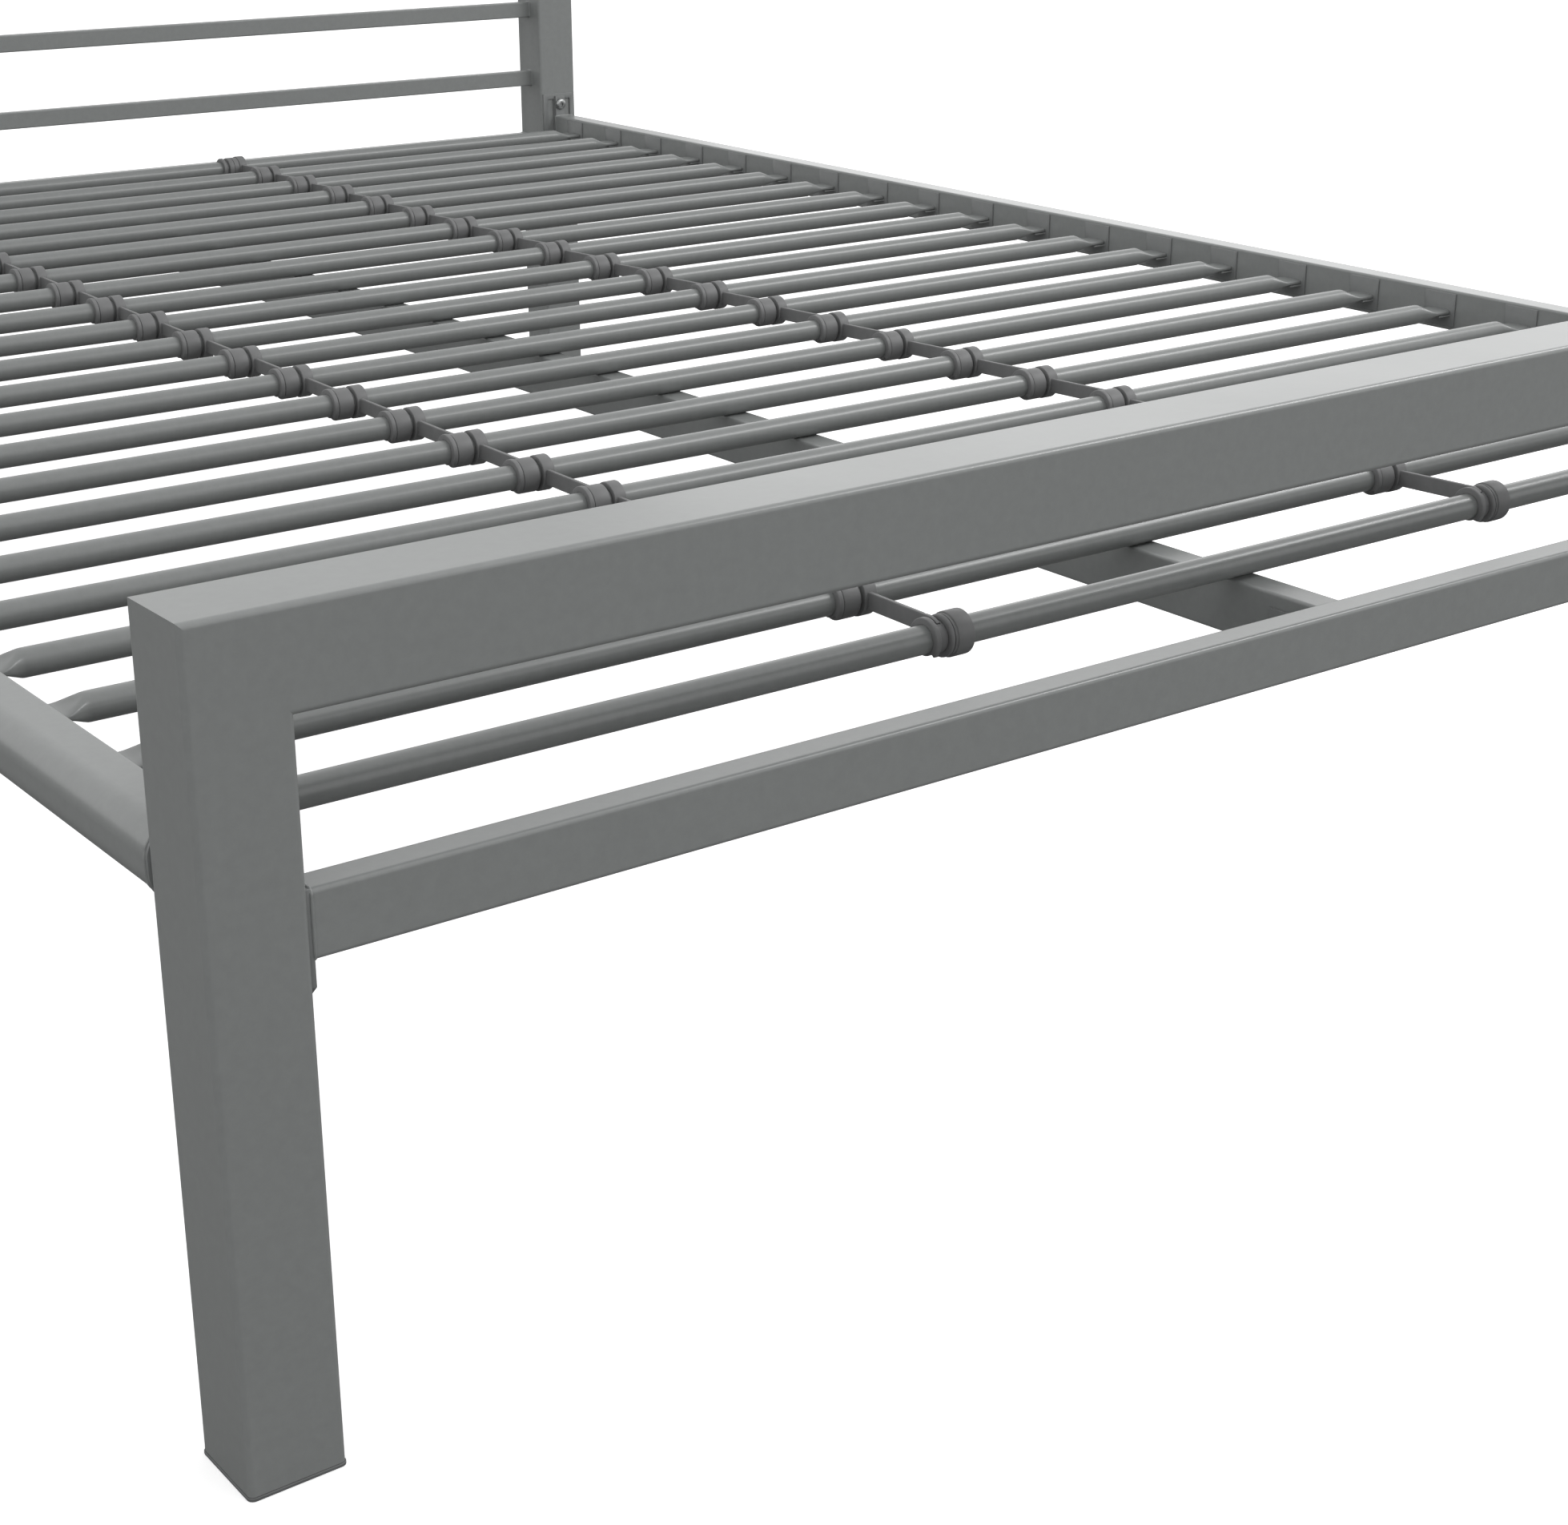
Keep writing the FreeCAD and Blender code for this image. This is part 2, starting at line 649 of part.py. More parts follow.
def main():
    """Write every node of the bed frame."""
    os.makedirs("parts", exist_ok=True)
    corners = [(side, end) for end in ENDS for side in SIDES]
    write_end_frame("foot", -1, foot_height)
    write_end_frame("head", 1, head_height)
    for index in range(head_bar_count):
        write(f"head_bar_{index + 1}", [head_bar(index)])
    write("foot_caps", [foot_cap(side, end) for side, end in corners])
    last = slat_count - 2
    links = [link_blank(index == 0, index == last) for index in range(slat_count - 1)]
    for side, word in ((-1, "left"), (1, "right")):
        write(f"side_rail_{word}", [side_rail(side)])
        write(f"rail_end_plates_{word}", [rail_end_plate(side, end) for end in ENDS])
        angle = angle_blank(side)
        write(f"slat_angles_{word}", [at_slat(angle, index) for index in range(slat_count)])
        column_x = side * link_column_offset
        write(f"slat_links_{word}", [at_slat(link, k, column_x) for k, link in enumerate(links)])
    write("centre_rail", [centre_rail()])
    write("centre_rail_cradles", [cradle(end) for end in ENDS])
    slat = slat_blank()
    for index in range(slat_count):
        write(f"slat_{index + 1:02d}", [at_slat(slat, index)])
    stops = [at_slat(foot_ring(), 0, side * link_column_offset) for side in SIDES]
    stops += [at_slat(head_spool(), slat_count - 1, side * link_column_offset) for side in SIDES]
    write("slat_stop_rings", stops)
    bolts = [rail_bolt(side, end) for side, end in corners]
    bolts += [hook_bolt(side, end) for side, end in corners]
    bolts += [cradle_bolt(end) for end in ENDS]
    nuts = [rail_nut(side, end) for side, end in corners]
    nuts += [hook_nut(side, end) for side, end in corners]
    nuts += [cradle_nut(end) for end in ENDS]
    write("frame_bolts", bolts)
    write("weld_nuts", nuts)


main()
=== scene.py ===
"""Looks of a metal bed frame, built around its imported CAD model.

Every size is in metres and every place is in the model's own frame: X runs across
the bed, Y from the foot end to the head end and Z up from the floor.  The tubes,
bars, slats, links and bolts are made here with rounded edges and smooth shading,
and the folded plates are copies of the CAD plates with eased edges.
"""
import logging
import math
from dataclasses import dataclass, field
from enum import Enum
from typing import Callable, Optional, Sequence

import bmesh
import bpy
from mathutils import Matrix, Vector


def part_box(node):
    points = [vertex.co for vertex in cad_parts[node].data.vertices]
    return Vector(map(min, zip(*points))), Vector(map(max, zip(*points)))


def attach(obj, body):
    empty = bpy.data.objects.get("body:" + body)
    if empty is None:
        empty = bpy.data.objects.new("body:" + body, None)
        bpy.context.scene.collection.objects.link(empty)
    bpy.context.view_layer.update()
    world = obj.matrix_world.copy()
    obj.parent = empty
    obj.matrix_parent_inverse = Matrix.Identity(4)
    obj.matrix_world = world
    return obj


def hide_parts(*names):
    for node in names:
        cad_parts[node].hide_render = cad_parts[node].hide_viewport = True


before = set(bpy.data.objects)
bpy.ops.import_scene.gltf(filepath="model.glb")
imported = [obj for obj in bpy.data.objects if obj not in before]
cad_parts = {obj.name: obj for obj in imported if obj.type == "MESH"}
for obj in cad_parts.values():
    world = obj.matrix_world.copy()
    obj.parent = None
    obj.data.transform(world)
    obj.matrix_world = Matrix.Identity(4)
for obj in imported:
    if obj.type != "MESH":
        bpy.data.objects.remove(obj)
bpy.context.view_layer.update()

log = logging.getLogger("bed_frame")

MM = 0.001
HEAD_BARS = 6
Colour = tuple[float, float, float]
Ring = list[Vector]
Outline = list[tuple[float, float]]
Profile = Sequence[tuple[float, float]]
Radii = tuple[float, float, float, float]


class End(Enum):
    """The two ends of the bed and the way each lies along Y."""

    FOOT = -1
    HEAD = 1

    @property
    def word(self) -> str:
        """Word that starts the names of this end's nodes."""
        return self.name.lower()


class Side(Enum):
    """The two sides of the bed and the way each lies along X."""

    LEFT = -1
    RIGHT = 1

    @property
    def word(self) -> str:
        """Word that ends the names of this side's nodes."""
        return self.name.lower()


class Slot(Enum):
    """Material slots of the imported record."""

    FRAME_PAINT = "frame_paint"
    SLAT_PAINT = "slat_paint"
    BRACKET_PAINT = "bracket_paint"
    LINK_PLASTIC = "link_plastic"
    CAP_PLASTIC = "cap_plastic"
    BOLT_STEEL = "bolt_steel"
    NUT_STEEL = "nut_steel"


# ---------------------------------------------------------------- finishes


class Bench:
    """A node tree with short ways to add and join nodes."""

    def __init__(self, tree: bpy.types.NodeTree) -> None:
        """Work on a node tree."""
        self.tree = tree

    def fill(self, target: bpy.types.NodeSocket, value: object) -> None:
        """Join a socket to an input, or set a plain value on it."""
        if isinstance(value, bpy.types.NodeSocket):
            self.tree.links.new(value, target)
        else:
            target.default_value = value

    def node(self, kind: str, **values: object) -> bpy.types.Node:
        """Add a node and fill its inputs.

        Args:
            kind: The node's type name.
            **values: Input names, with _ for a space, and a socket to join or a value to set.

        Returns:
            The new node.
        """
        made = self.tree.nodes.new(kind)
        for key, value in values.items():
            self.fill(made.inputs[key.replace("_", " ")], value)
        return made

    def math(self, operation: str, first: object, second: object) -> bpy.types.NodeSocket:
        """Add a sum of two values, each a socket or a number, and return its result."""
        made = self.tree.nodes.new("ShaderNodeMath")
        made.operation = operation
        for target, value in zip(made.inputs, (first, second)):
            self.fill(target, value)
        return made.outputs["Value"]


class FinishBench(Bench):
    """The node tree of a new material, with one shader."""

    def __init__(self, name: str) -> None:
        """Start a material with an empty tree.

        Args:
            name: The material's name.
        """
        self.material = bpy.data.materials.new(name)
        self.material.use_nodes = True
        super().__init__(self.material.node_tree)
        self.tree.nodes.clear()
        self.shader = self.node("ShaderNodeBsdfPrincipled")
        self.node("ShaderNodeOutputMaterial", Surface=self.shader.outputs["BSDF"])
        self.place = self.node("ShaderNodeTexCoord").outputs["Object"]

    def noise(self, scale: float, detail: float = 2.0, roughness: float = 0.5) -> bpy.types.NodeSocket:
        """Add a noise over the piece.

        Args:
            scale: Features for each metre.
            detail: Number of finer layers.
            roughness: Share of the finer layers.

        Returns:
            The noise's value socket.
        """
        made = self.node(
            "ShaderNodeTexNoise", Vector=self.place, Scale=scale, Detail=detail, Roughness=roughness
        )
        return made.outputs["Fac"]

    def spread(
        self, source: bpy.types.NodeSocket, low: float, high: float,
        source_low: float = 0.3, source_high: float = 0.7,
    ) -> bpy.types.NodeSocket:
        """Map the middle of a noise to a range.

        Args:
            source: The noise's value.
            low: Value at the dark end.
            high: Value at the bright end.
            source_low: Noise value that gives the dark end.
            source_high: Noise value that gives the bright end.

        Returns:
            The mapped value socket.
        """
        made = self.node(
            "ShaderNodeMapRange",
            Value=source, From_Min=source_low, From_Max=source_high, To_Min=low, To_Max=high,
        )
        return made.outputs["Result"]

    def blend(
        self, share: bpy.types.NodeSocket, first: Colour | bpy.types.NodeSocket, second: Colour
    ) -> bpy.types.NodeSocket:
        """Mix two colours.

        Args:
            share: Share of the second colour.
            first: Colour at a share of 0, plain or from a socket.
            second: Plain colour at a share of 1.

        Returns:
            The mixed colour socket.
        """
        made = self.tree.nodes.new("ShaderNodeMix")
        made.data_type = "RGBA"
        share_input, first_input, second_input = (made.inputs[index] for index in (0, 6, 7))
        self.fill(share_input, share)
        self.fill(first_input, first if isinstance(first, bpy.types.NodeSocket) else (*first, 1.0))
        self.fill(second_input, (*second, 1.0))
        return made.outputs[2]

    def relief(self, *layers: tuple[bpy.types.NodeSocket, float, float]) -> None:
        """Stack bumps and join them to the shader.

        Args:
            *layers: Height socket, strength and depth in metres of each bump.
        """
        below: Optional[bpy.types.NodeSocket] = None
        for height, strength, depth in layers:
            bump = self.node("ShaderNodeBump", Height=height, Strength=strength, Distance=depth)
            if below is not None:
                self.fill(bump.inputs["Normal"], below)
            below = bump.outputs["Normal"]
        self.settle(Normal=below)

    def settle(self, **values: object) -> None:
        """Fill the shader's own inputs, with _ for a space in their names."""
        for key, value in values.items():
            self.fill(self.shader.inputs[key.replace("_", " ")], value)


def shade(colour: Colour, share: float) -> Colour:
    """Colour made lighter or darker by a share of itself."""
    return tuple(max(0.0, channel * (1.0 + share)) for channel in colour)


@dataclass(frozen=True)
class PowderCoat:
    """Baked powder paint on steel: a fine orange peel, small flecks and a soft sheen."""

    name: str
    colour: Colour
    roughness: float = 0.36
    peel_scale: float = 520.0
    peel_strength: float = 0.11
    peel_depth: float = 0.12 * MM
    coat: float = 0.25
    tint: float = 0.04
    grain_scale: float = 1100.0
    fleck_range: tuple[float, float] = (0.5, 0.8)
    fleck_share: float = 0.015
    fleck_gain: float = 0.9
    cloud_scale: float = 7.0
    cloud_swing: float = 0.02
    mottle_scale: float = 160.0
    mottle_swing: float = 0.01

    def material(self) -> bpy.types.Material:
        """Build the paint's node material."""
        bench = FinishBench(self.name)
        cloud = bench.noise(self.cloud_scale, 3.0, 0.6)
        mottle = bench.noise(self.mottle_scale, 4.0, 0.6)
        peel = bench.noise(self.peel_scale)
        grain = bench.noise(self.grain_scale, 1.0)
        base = bench.blend(
            bench.spread(mottle, 0.0, 1.0), shade(self.colour, -self.tint), shade(self.colour, self.tint)
        )
        fleck = bench.spread(grain, 0.0, self.fleck_share, *self.fleck_range)
        low, high = self.roughness - self.cloud_swing, self.roughness + self.cloud_swing
        swing = bench.spread(mottle, -self.mottle_swing, self.mottle_swing)
        bench.settle(
            Base_Color=bench.blend(fleck, base, shade(self.colour, self.fleck_gain)),
            Roughness=bench.math("ADD", bench.spread(cloud, low, high), swing),
            IOR=1.5, Coat_Weight=self.coat, Coat_Roughness=0.22,
        )
        bench.relief((peel, self.peel_strength, self.peel_depth))
        return bench.material


@dataclass(frozen=True)
class MouldedPlastic:
    """Injection-moulded plastic with a fine spark-eroded texture."""

    name: str
    colour: Colour
    roughness: float = 0.5
    flow_scale: float = 55.0
    texture_scale: float = 1500.0
    tint: float = 0.08

    def material(self) -> bpy.types.Material:
        """Build the plastic's node material."""
        bench = FinishBench(self.name)
        flow = bench.noise(self.flow_scale, 3.0, 0.55)
        texture = bench.noise(self.texture_scale, 2.0, 0.7)
        dark, light = shade(self.colour, -self.tint), shade(self.colour, self.tint)
        bench.settle(
            Base_Color=bench.blend(bench.spread(flow, 0.0, 1.0), dark, light),
            Roughness=bench.spread(texture, self.roughness - 0.06, self.roughness + 0.07),
            IOR=1.46,
        )
        bench.relief((flow, 0.08, 0.3 * MM), (texture, 0.30, 0.05 * MM))
        return bench.material


@dataclass(frozen=True)
class ZincPlate:
    """Zinc-plated steel with faint crystals and turning marks."""

    name: str
    colour: Colour
    roughness: float = 0.3
    crystal_scale: float = 700.0
    haze_scale: float = 240.0

    def material(self) -> bpy.types.Material:
        """Build the plating's node material."""
        bench = FinishBench(self.name)
        crystal = bench.node("ShaderNodeTexVoronoi", Vector=bench.place, Scale=self.crystal_scale)
        haze = bench.noise(self.haze_scale, 3.0)
        share = bench.spread(crystal.outputs["Color"], 0.0, 1.0)
        bench.settle(
            Base_Color=bench.blend(share, shade(self.colour, -0.12), shade(self.colour, 0.08)),
            Roughness=bench.spread(haze, self.roughness - 0.07, self.roughness + 0.1),
            Metallic=1.0, IOR=1.5,
        )
        bench.relief((haze, 0.12, 0.08 * MM))
        return bench.material


class Paintshop:
    """Every finish of the bed, each made once and handed out by slot."""

    finishes: dict[Slot, PowderCoat | MouldedPlastic | ZincPlate] = {
        Slot.FRAME_PAINT: PowderCoat(
            "frame_powder_coat", (0.248, 0.258, 0.255), roughness=0.325, peel_strength=0.05, coat=0.3
        ),
        Slot.SLAT_PAINT: PowderCoat(
            "slat_powder_coat", (0.215, 0.224, 0.221), roughness=0.34, peel_scale=420.0, peel_strength=0.02
        ),
        Slot.BRACKET_PAINT: PowderCoat("bracket_powder_coat", (0.200, 0.208, 0.207), roughness=0.42),
        Slot.LINK_PLASTIC: MouldedPlastic("link_plastic", (0.172, 0.174, 0.175)),
        Slot.CAP_PLASTIC: MouldedPlastic("cap_plastic", (0.150, 0.155, 0.155), roughness=0.45),
        Slot.BOLT_STEEL: ZincPlate("bolt_zinc", (0.42, 0.43, 0.43)),
        Slot.NUT_STEEL: ZincPlate("nut_steel", (0.42, 0.42, 0.41), roughness=0.4),
    }

    def __init__(self) -> None:
        """Start with no material made."""
        self.made: dict[Slot, bpy.types.Material] = {}

    def material(self, slot: Slot) -> bpy.types.Material:
        """Material of a slot, made the first time that it is asked for."""
        if slot not in self.made:
            self.made[slot] = self.finishes[slot].material()
        return self.made[slot]


PAINT = Paintshop()


# ---------------------------------------------------------------- shapes


@dataclass(frozen=True)
class Section:
    """Rounded rectangular section of a tube or bar about its own centre.

    The radii start at the corner where both axes are low and run anticlockwise.
    """

    width: float
    height: float
    radii: Radii
    steps: int = 6
    support: float = 0.5 * MM

    @classmethod
    def even(cls, width: float, height: float, radius: float, steps: int = 6) -> "Section":
        """Section with the same radius at every corner."""
        return cls(width, height, (radius,) * 4, steps)

    def outline(self, inset: float = 0.0) -> Outline:
        """Points round the section, with a close pair beside each arc so that flats stay flat.

        Args:
            inset: Distance by which the outline is drawn in, for an eased end.

        Returns:
            The points, anticlockwise.
        """
        points: Outline = []
        corners = ((-1, -1), (1, -1), (1, 1), (-1, 1))
        for (sx, sy), radius in zip(corners, self.radii):
            cx, cy = sx * (self.width / 2 - radius), sy * (self.height / 2 - radius)
            reach = max(radius - inset, 0.05 * MM)
            turn = math.atan2(sy, sx) - math.pi / 4
            arc = []
            for step in range(self.steps + 1):
                angle = turn + math.pi / 2 * step / self.steps
                arc.append((cx + reach * math.cos(angle), cy + reach * math.sin(angle)))
            before = (-math.sin(turn), math.cos(turn))
            after = (-math.sin(turn + math.pi / 2), math.cos(turn + math.pi / 2))
            first, last = arc[0], arc[-1]
            points.append((first[0] - before[0] * self.support, first[1] - before[1] * self.support))
            points.extend(arc)
            points.append((last[0] + after[0] * self.support, last[1] + after[1] * self.support))
        return points


class Skin:
    """Mesh of one piece, put together from closed skins."""

    def __init__(self, name: str, slot: Slot) -> None:
        """Start an empty piece.

        Args:
            name: The piece's name.
            slot: The finish that it takes.
        """
        self.name = name
        self.slot = slot
        self.points: list[Vector] = []
        self.faces: list[tuple[int, ...]] = []

    def loft(self, rings: Sequence[Ring]) -> None:
        """Add a skin through rings of points, closed at both ends.

        Args:
            rings: Rings with the same number of points each.
        """
        start, count = len(self.points), len(rings[0])
        for ring in rings:
            self.points.extend(ring)
        for row in range(len(rings) - 1):
            low = start + row * count
            for column in range(count):
                right = (column + 1) % count
                self.faces.append((low + column, low + right, low + count + right, low + count + column))
        last = start + (len(rings) - 1) * count
        self.faces.append(tuple(range(start, start + count)))
        self.faces.append(tuple(range(last, last + count)))

    def spin(self, profile: Profile, centre: Vector, opening: float = 0.0, steps: int = 32) -> None:
        """Add a ring turned about a line along X.

        Args:
            profile: Closed half section, along X and out from the line.
            centre: A point on the line that the X values start from.
            opening: Angle in degrees that is left out at the bottom of the ring.
            steps: Number of sides.
        """
        start, count = len(self.points), len(profile)
        stations = steps + 1 if opening else steps
        for station in range(stations):
            angle = math.radians(opening / 2 - 90.0 + (360.0 - opening) * station / steps)
            for x, radius in profile:
                spoke = Vector((x, radius * math.cos(angle), radius * math.sin(angle)))
                self.points.append(centre + spoke)
        for step in range(steps):
            low, high = start + step * count, start + (step + 1) % stations * count
            for index in range(count):
                right = (index + 1) % count
                self.faces.append((low + index, low + right, high + right, high + index))
        if opening:
            self.faces.append(tuple(range(start, start + count)))
            self.faces.append(tuple(range(start + steps * count, start + stations * count)))

    def build(self, sharp_angle: float = 38.0) -> bpy.types.Object:
        """Make the object, with faces outwards, smooth shading and its finish.

        Args:
            sharp_angle: Angle in degrees above which an edge stays sharp.

        Returns:
            The new object, which is not yet on a body.
        """
        mesh = bpy.data.meshes.new(self.name)
        mesh.from_pydata([tuple(point) for point in self.points], [], self.faces)
        work = bmesh.new()
        work.from_mesh(mesh)
        bmesh.ops.remove_doubles(work, verts=work.verts, dist=1e-7)
        bmesh.ops.recalc_face_normals(work, faces=work.faces)
        work.to_mesh(mesh)
        work.free()
        mesh.materials.append(PAINT.material(self.slot))
        smooth_shade(mesh, sharp_angle)
        return new_object(self.name, mesh)


def new_object(name: str, data: bpy.types.ID) -> bpy.types.Object:
    """Put a mesh, light or camera in the scene as an object at the origin."""
    made = bpy.data.objects.new(name, data)
    bpy.context.scene.collection.objects.link(made)
    return made


def smooth_shade(mesh: bpy.types.Mesh, sharp_angle: float) -> None:
    """Smooth a mesh and keep the edges sharp that turn by more than an angle in degrees."""
    mesh.shade_smooth()
    mesh.set_sharp_from_angle(angle=math.radians(sharp_angle))


def seat(piece: bpy.types.Object, nodes: Sequence[str]) -> None:
    """Put a finished piece on the frame in the place of its CAD nodes.

    Args:
        piece: The piece, in place.
        nodes: The CAD nodes that it stands for.
    """
    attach(piece, "root")
    if nodes:
        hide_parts(*nodes)
    log.info("%s: %d points, %d faces", piece.name, len(piece.data.vertices), len(piece.data.polygons))


def node_box(node: str) -> tuple[Vector, Vector, Vector]:
    """Low corner, high corner and middle of a CAD node."""
    low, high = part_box(node)
    return low, high, (low + high) / 2


def slat_nodes() -> list[str]:
    """Names of the slats' CAD nodes, from the foot end to the head end."""
    return sorted(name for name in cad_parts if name.startswith("slat_") and name[5:].isdigit())


@dataclass(frozen=True)
class Member:
    """Straight tube or bar between two cuts.

    A point of the section at (a, b) lies at origin + a * across + b * up.  A cut gives
    the place along the axis where the member ends at that point of the section.
    """

    section: Section
    origin: Vector
    across: Vector
    up: Vector
    along: Vector
    start: Callable[[float, float], float]
    stop: Callable[[float, float], float]
    start_ease: float = 0.3 * MM
    stop_ease: float = 0.3 * MM
    support: float = 1.2 * MM

    def rings(self) -> list[Ring]:
        """Rings of the member, eased at both ends unless an end is ground flush."""
        full = self.section.outline()
        levels = [(full, self.start, self.support), (full, self.stop, -self.support)]
        if self.start_ease:
            levels.insert(0, (full, self.start, self.start_ease))
        if self.stop_ease:
            levels.append((full, self.stop, -self.stop_ease))
        levels.insert(0, (self.section.outline(self.start_ease), self.start, 0.0))
        levels.append((self.section.outline(self.stop_ease), self.stop, 0.0))
        made: list[Ring] = []
        for outline, cut, shift in levels:
            ring = []
            for a, b in outline:
                place = cut(a, b) + shift
                ring.append(self.origin + self.across * a + self.up * b + self.along * place)
            made.append(ring)
        return made


X, Y, Z = Vector((1, 0, 0)), Vector((0, 1, 0)), Vector((0, 0, 1))


def square(place: float) -> Callable[[float, float], float]:
    """Square cut at one place along a member."""
    return lambda a, b: place


def lay_tube(node: str, member: Member) -> None:
    """Make a painted tube and put it on the frame.

    Args:
        node: The CAD node that it stands for.
        member: The tube's section, line and cuts.
    """
    skin = Skin(f"{node}_tube", Slot.FRAME_PAINT)
    skin.loft(member.rings())
    seat(skin.build(), [node])


# ---------------------------------------------------------------- geometry node trees


class TreeBench(Bench):
    """A Geometry Nodes tree with named inputs that runs on a host object."""

    def __init__(self, name: str, **inputs: str) -> None:
        """Start a tree with a host going in and a geometry coming out.

        Args:
            name: The tree's name.
            **inputs: Further inputs' names, with _ for a space, and their kinds, such as Float.
        """
        super().__init__(bpy.data.node_groups.new(name, "GeometryNodeTree"))
        face = self.tree.interface
        face.new_socket(name="Host", in_out="INPUT", socket_type="NodeSocketGeometry")
        face.new_socket(name="Geometry", in_out="OUTPUT", socket_type="NodeSocketGeometry")
        self.sockets: dict[str, str] = {}
        for key, kind in {**inputs, "Finish": "Material"}.items():
            title = key.replace("_", " ")
            made = face.new_socket(name=title, in_out="INPUT", socket_type=f"NodeSocket{kind}")
            self.sockets[title] = made.identifier
        self.entry = self.tree.nodes.new("NodeGroupInput")
        self.exit = self.tree.nodes.new("NodeGroupOutput")

    def given(self, name: str) -> bpy.types.NodeSocket:
        """Socket that carries a named input into the tree."""
        return self.entry.outputs[name]

    def finish(self, geometry: bpy.types.NodeSocket) -> None:
        """Close the tree: make instances real and set the finish."""
        real = self.node("GeometryNodeRealizeInstances", Geometry=geometry)
        painted = self.node(
            "GeometryNodeSetMaterial", Geometry=real.outputs["Geometry"], Material=self.given("Finish")
        )
        self.fill(self.exit.inputs["Geometry"], painted.outputs["Geometry"])

    def run(self, host: bpy.types.Object, name: str, slot: Slot, **values: object) -> bpy.types.Object:
        """Run the tree on a host and turn the result into a plain mesh.

        Args:
            host: Object whose mesh the tree starts from.
            name: Name of the piece that comes out.
            slot: The finish that it takes.
            **values: Values of the named inputs, with _ for a space.

        Returns:
            The new object, with no modifier left on it.
        """
        modifier = host.modifiers.new("pattern", "NODES")
        modifier.node_group = self.tree
        modifier[self.sockets["Finish"]] = PAINT.material(slot)
        for key, value in values.items():
            modifier[self.sockets[key.replace("_", " ")]] = value
        bpy.context.view_layer.update()
        ready = host.evaluated_get(bpy.context.evaluated_depsgraph_get())
        mesh = bpy.data.meshes.new_from_object(ready)
        host.modifiers.remove(modifier)
        mesh.name = name
        bpy.data.objects.remove(host)
        return new_object(name, mesh)


class RowTree(TreeBench):
    """Copies of one piece in a straight row, such as slats or links."""

    def __init__(self) -> None:
        """Build the tree."""
        super().__init__("piece_row", Piece="Object", Count="Int", Start="Vector", Step="Vector")
        line = self.node(
            "GeometryNodeMeshLine",
            Count=self.given("Count"), Start_Location=self.given("Start"), Offset=self.given("Step"),
        )
        piece = self.node("GeometryNodeObjectInfo", Object=self.given("Piece"))
        copies = self.node(
            "GeometryNodeInstanceOnPoints",
            Points=line.outputs["Mesh"], Instance=piece.outputs["Geometry"],
        )
        self.finish(copies.outputs["Instances"])


class ScatterTree(TreeBench):
    """Copies of one piece at the points of a host, each turned by the point's own turn."""

    def __init__(self) -> None:
        """Build the tree."""
        super().__init__("piece_at_points", Piece="Object", Seed="Int")
        turn = self.node("GeometryNodeInputNamedAttribute", Name="turn")
        turn.data_type = "FLOAT_VECTOR"
        loose = self.node("FunctionNodeRandomValue", Seed=self.given("Seed"))
        loose.data_type = "FLOAT"
        loose.inputs[3].default_value = 2 * math.pi
        twist = self.node("ShaderNodeCombineXYZ", Z=loose.outputs[1])
        piece = self.node("GeometryNodeObjectInfo", Object=self.given("Piece"))
        to_turn = self.node("FunctionNodeEulerToRotation", Euler=turn.outputs["Attribute"])
        copies = self.node(
            "GeometryNodeInstanceOnPoints",
            Points=self.given("Host"), Instance=piece.outputs["Geometry"], Rotation=to_turn.outputs[0],
        )
        spun = self.node(
            "GeometryNodeRotateInstances", Instances=copies.outputs["Instances"], Rotation=twist.outputs[0]
        )
        self.finish(spun.outputs["Instances"])


class BeadTree(TreeBench):
    """Rippled weld bead that follows the edges of a host."""

    def __init__(self) -> None:
        """Build the tree."""
        super().__init__("weld_bead", Bead_Radius="Float", Ripple="Float", Pitch="Float", Seed="Int")
        line = self.node("GeometryNodeMeshToCurve", Mesh=self.given("Host"))
        fine = self.node("GeometryNodeResampleCurve", Curve=line.outputs["Curve"])
        fine.mode = "LENGTH"
        self.fill(fine.inputs["Length"], self.math("DIVIDE", self.given("Pitch"), 3.0))
        radius = self.given("Bead Radius")
        profile = self.node("GeometryNodeCurvePrimitiveCircle", Resolution=8, Radius=radius)
        solid = self.node(
            "GeometryNodeCurveToMesh",
            Curve=fine.outputs["Curve"], Profile_Curve=profile.outputs["Curve"], Fill_Caps=True,
        )
        place = self.node("GeometryNodeInputPosition")
        lumps = self.node("ShaderNodeTexNoise", Scale=self.math("DIVIDE", 1.0, self.given("Pitch")))
        lumps.noise_dimensions = "4D"
        self.fill(lumps.inputs["Vector"], place.outputs["Position"])
        self.fill(lumps.inputs["W"], self.given("Seed"))
        height = self.math("MULTIPLY", self.math("SUBTRACT", lumps.outputs[0], 0.5), self.given("Ripple"))
        normal = self.node("GeometryNodeInputNormal")
        out = self.tree.nodes.new("ShaderNodeVectorMath")
        out.operation = "SCALE"
        self.fill(out.inputs[0], normal.outputs["Normal"])
        self.fill(out.inputs["Scale"], height)
        rough = self.node("GeometryNodeSetPosition", Geometry=solid.outputs["Mesh"], Offset=out.outputs[0])
        smooth = self.node("GeometryNodeSetShadeSmooth", Geometry=rough.outputs["Geometry"])
        self.finish(smooth.outputs["Geometry"])


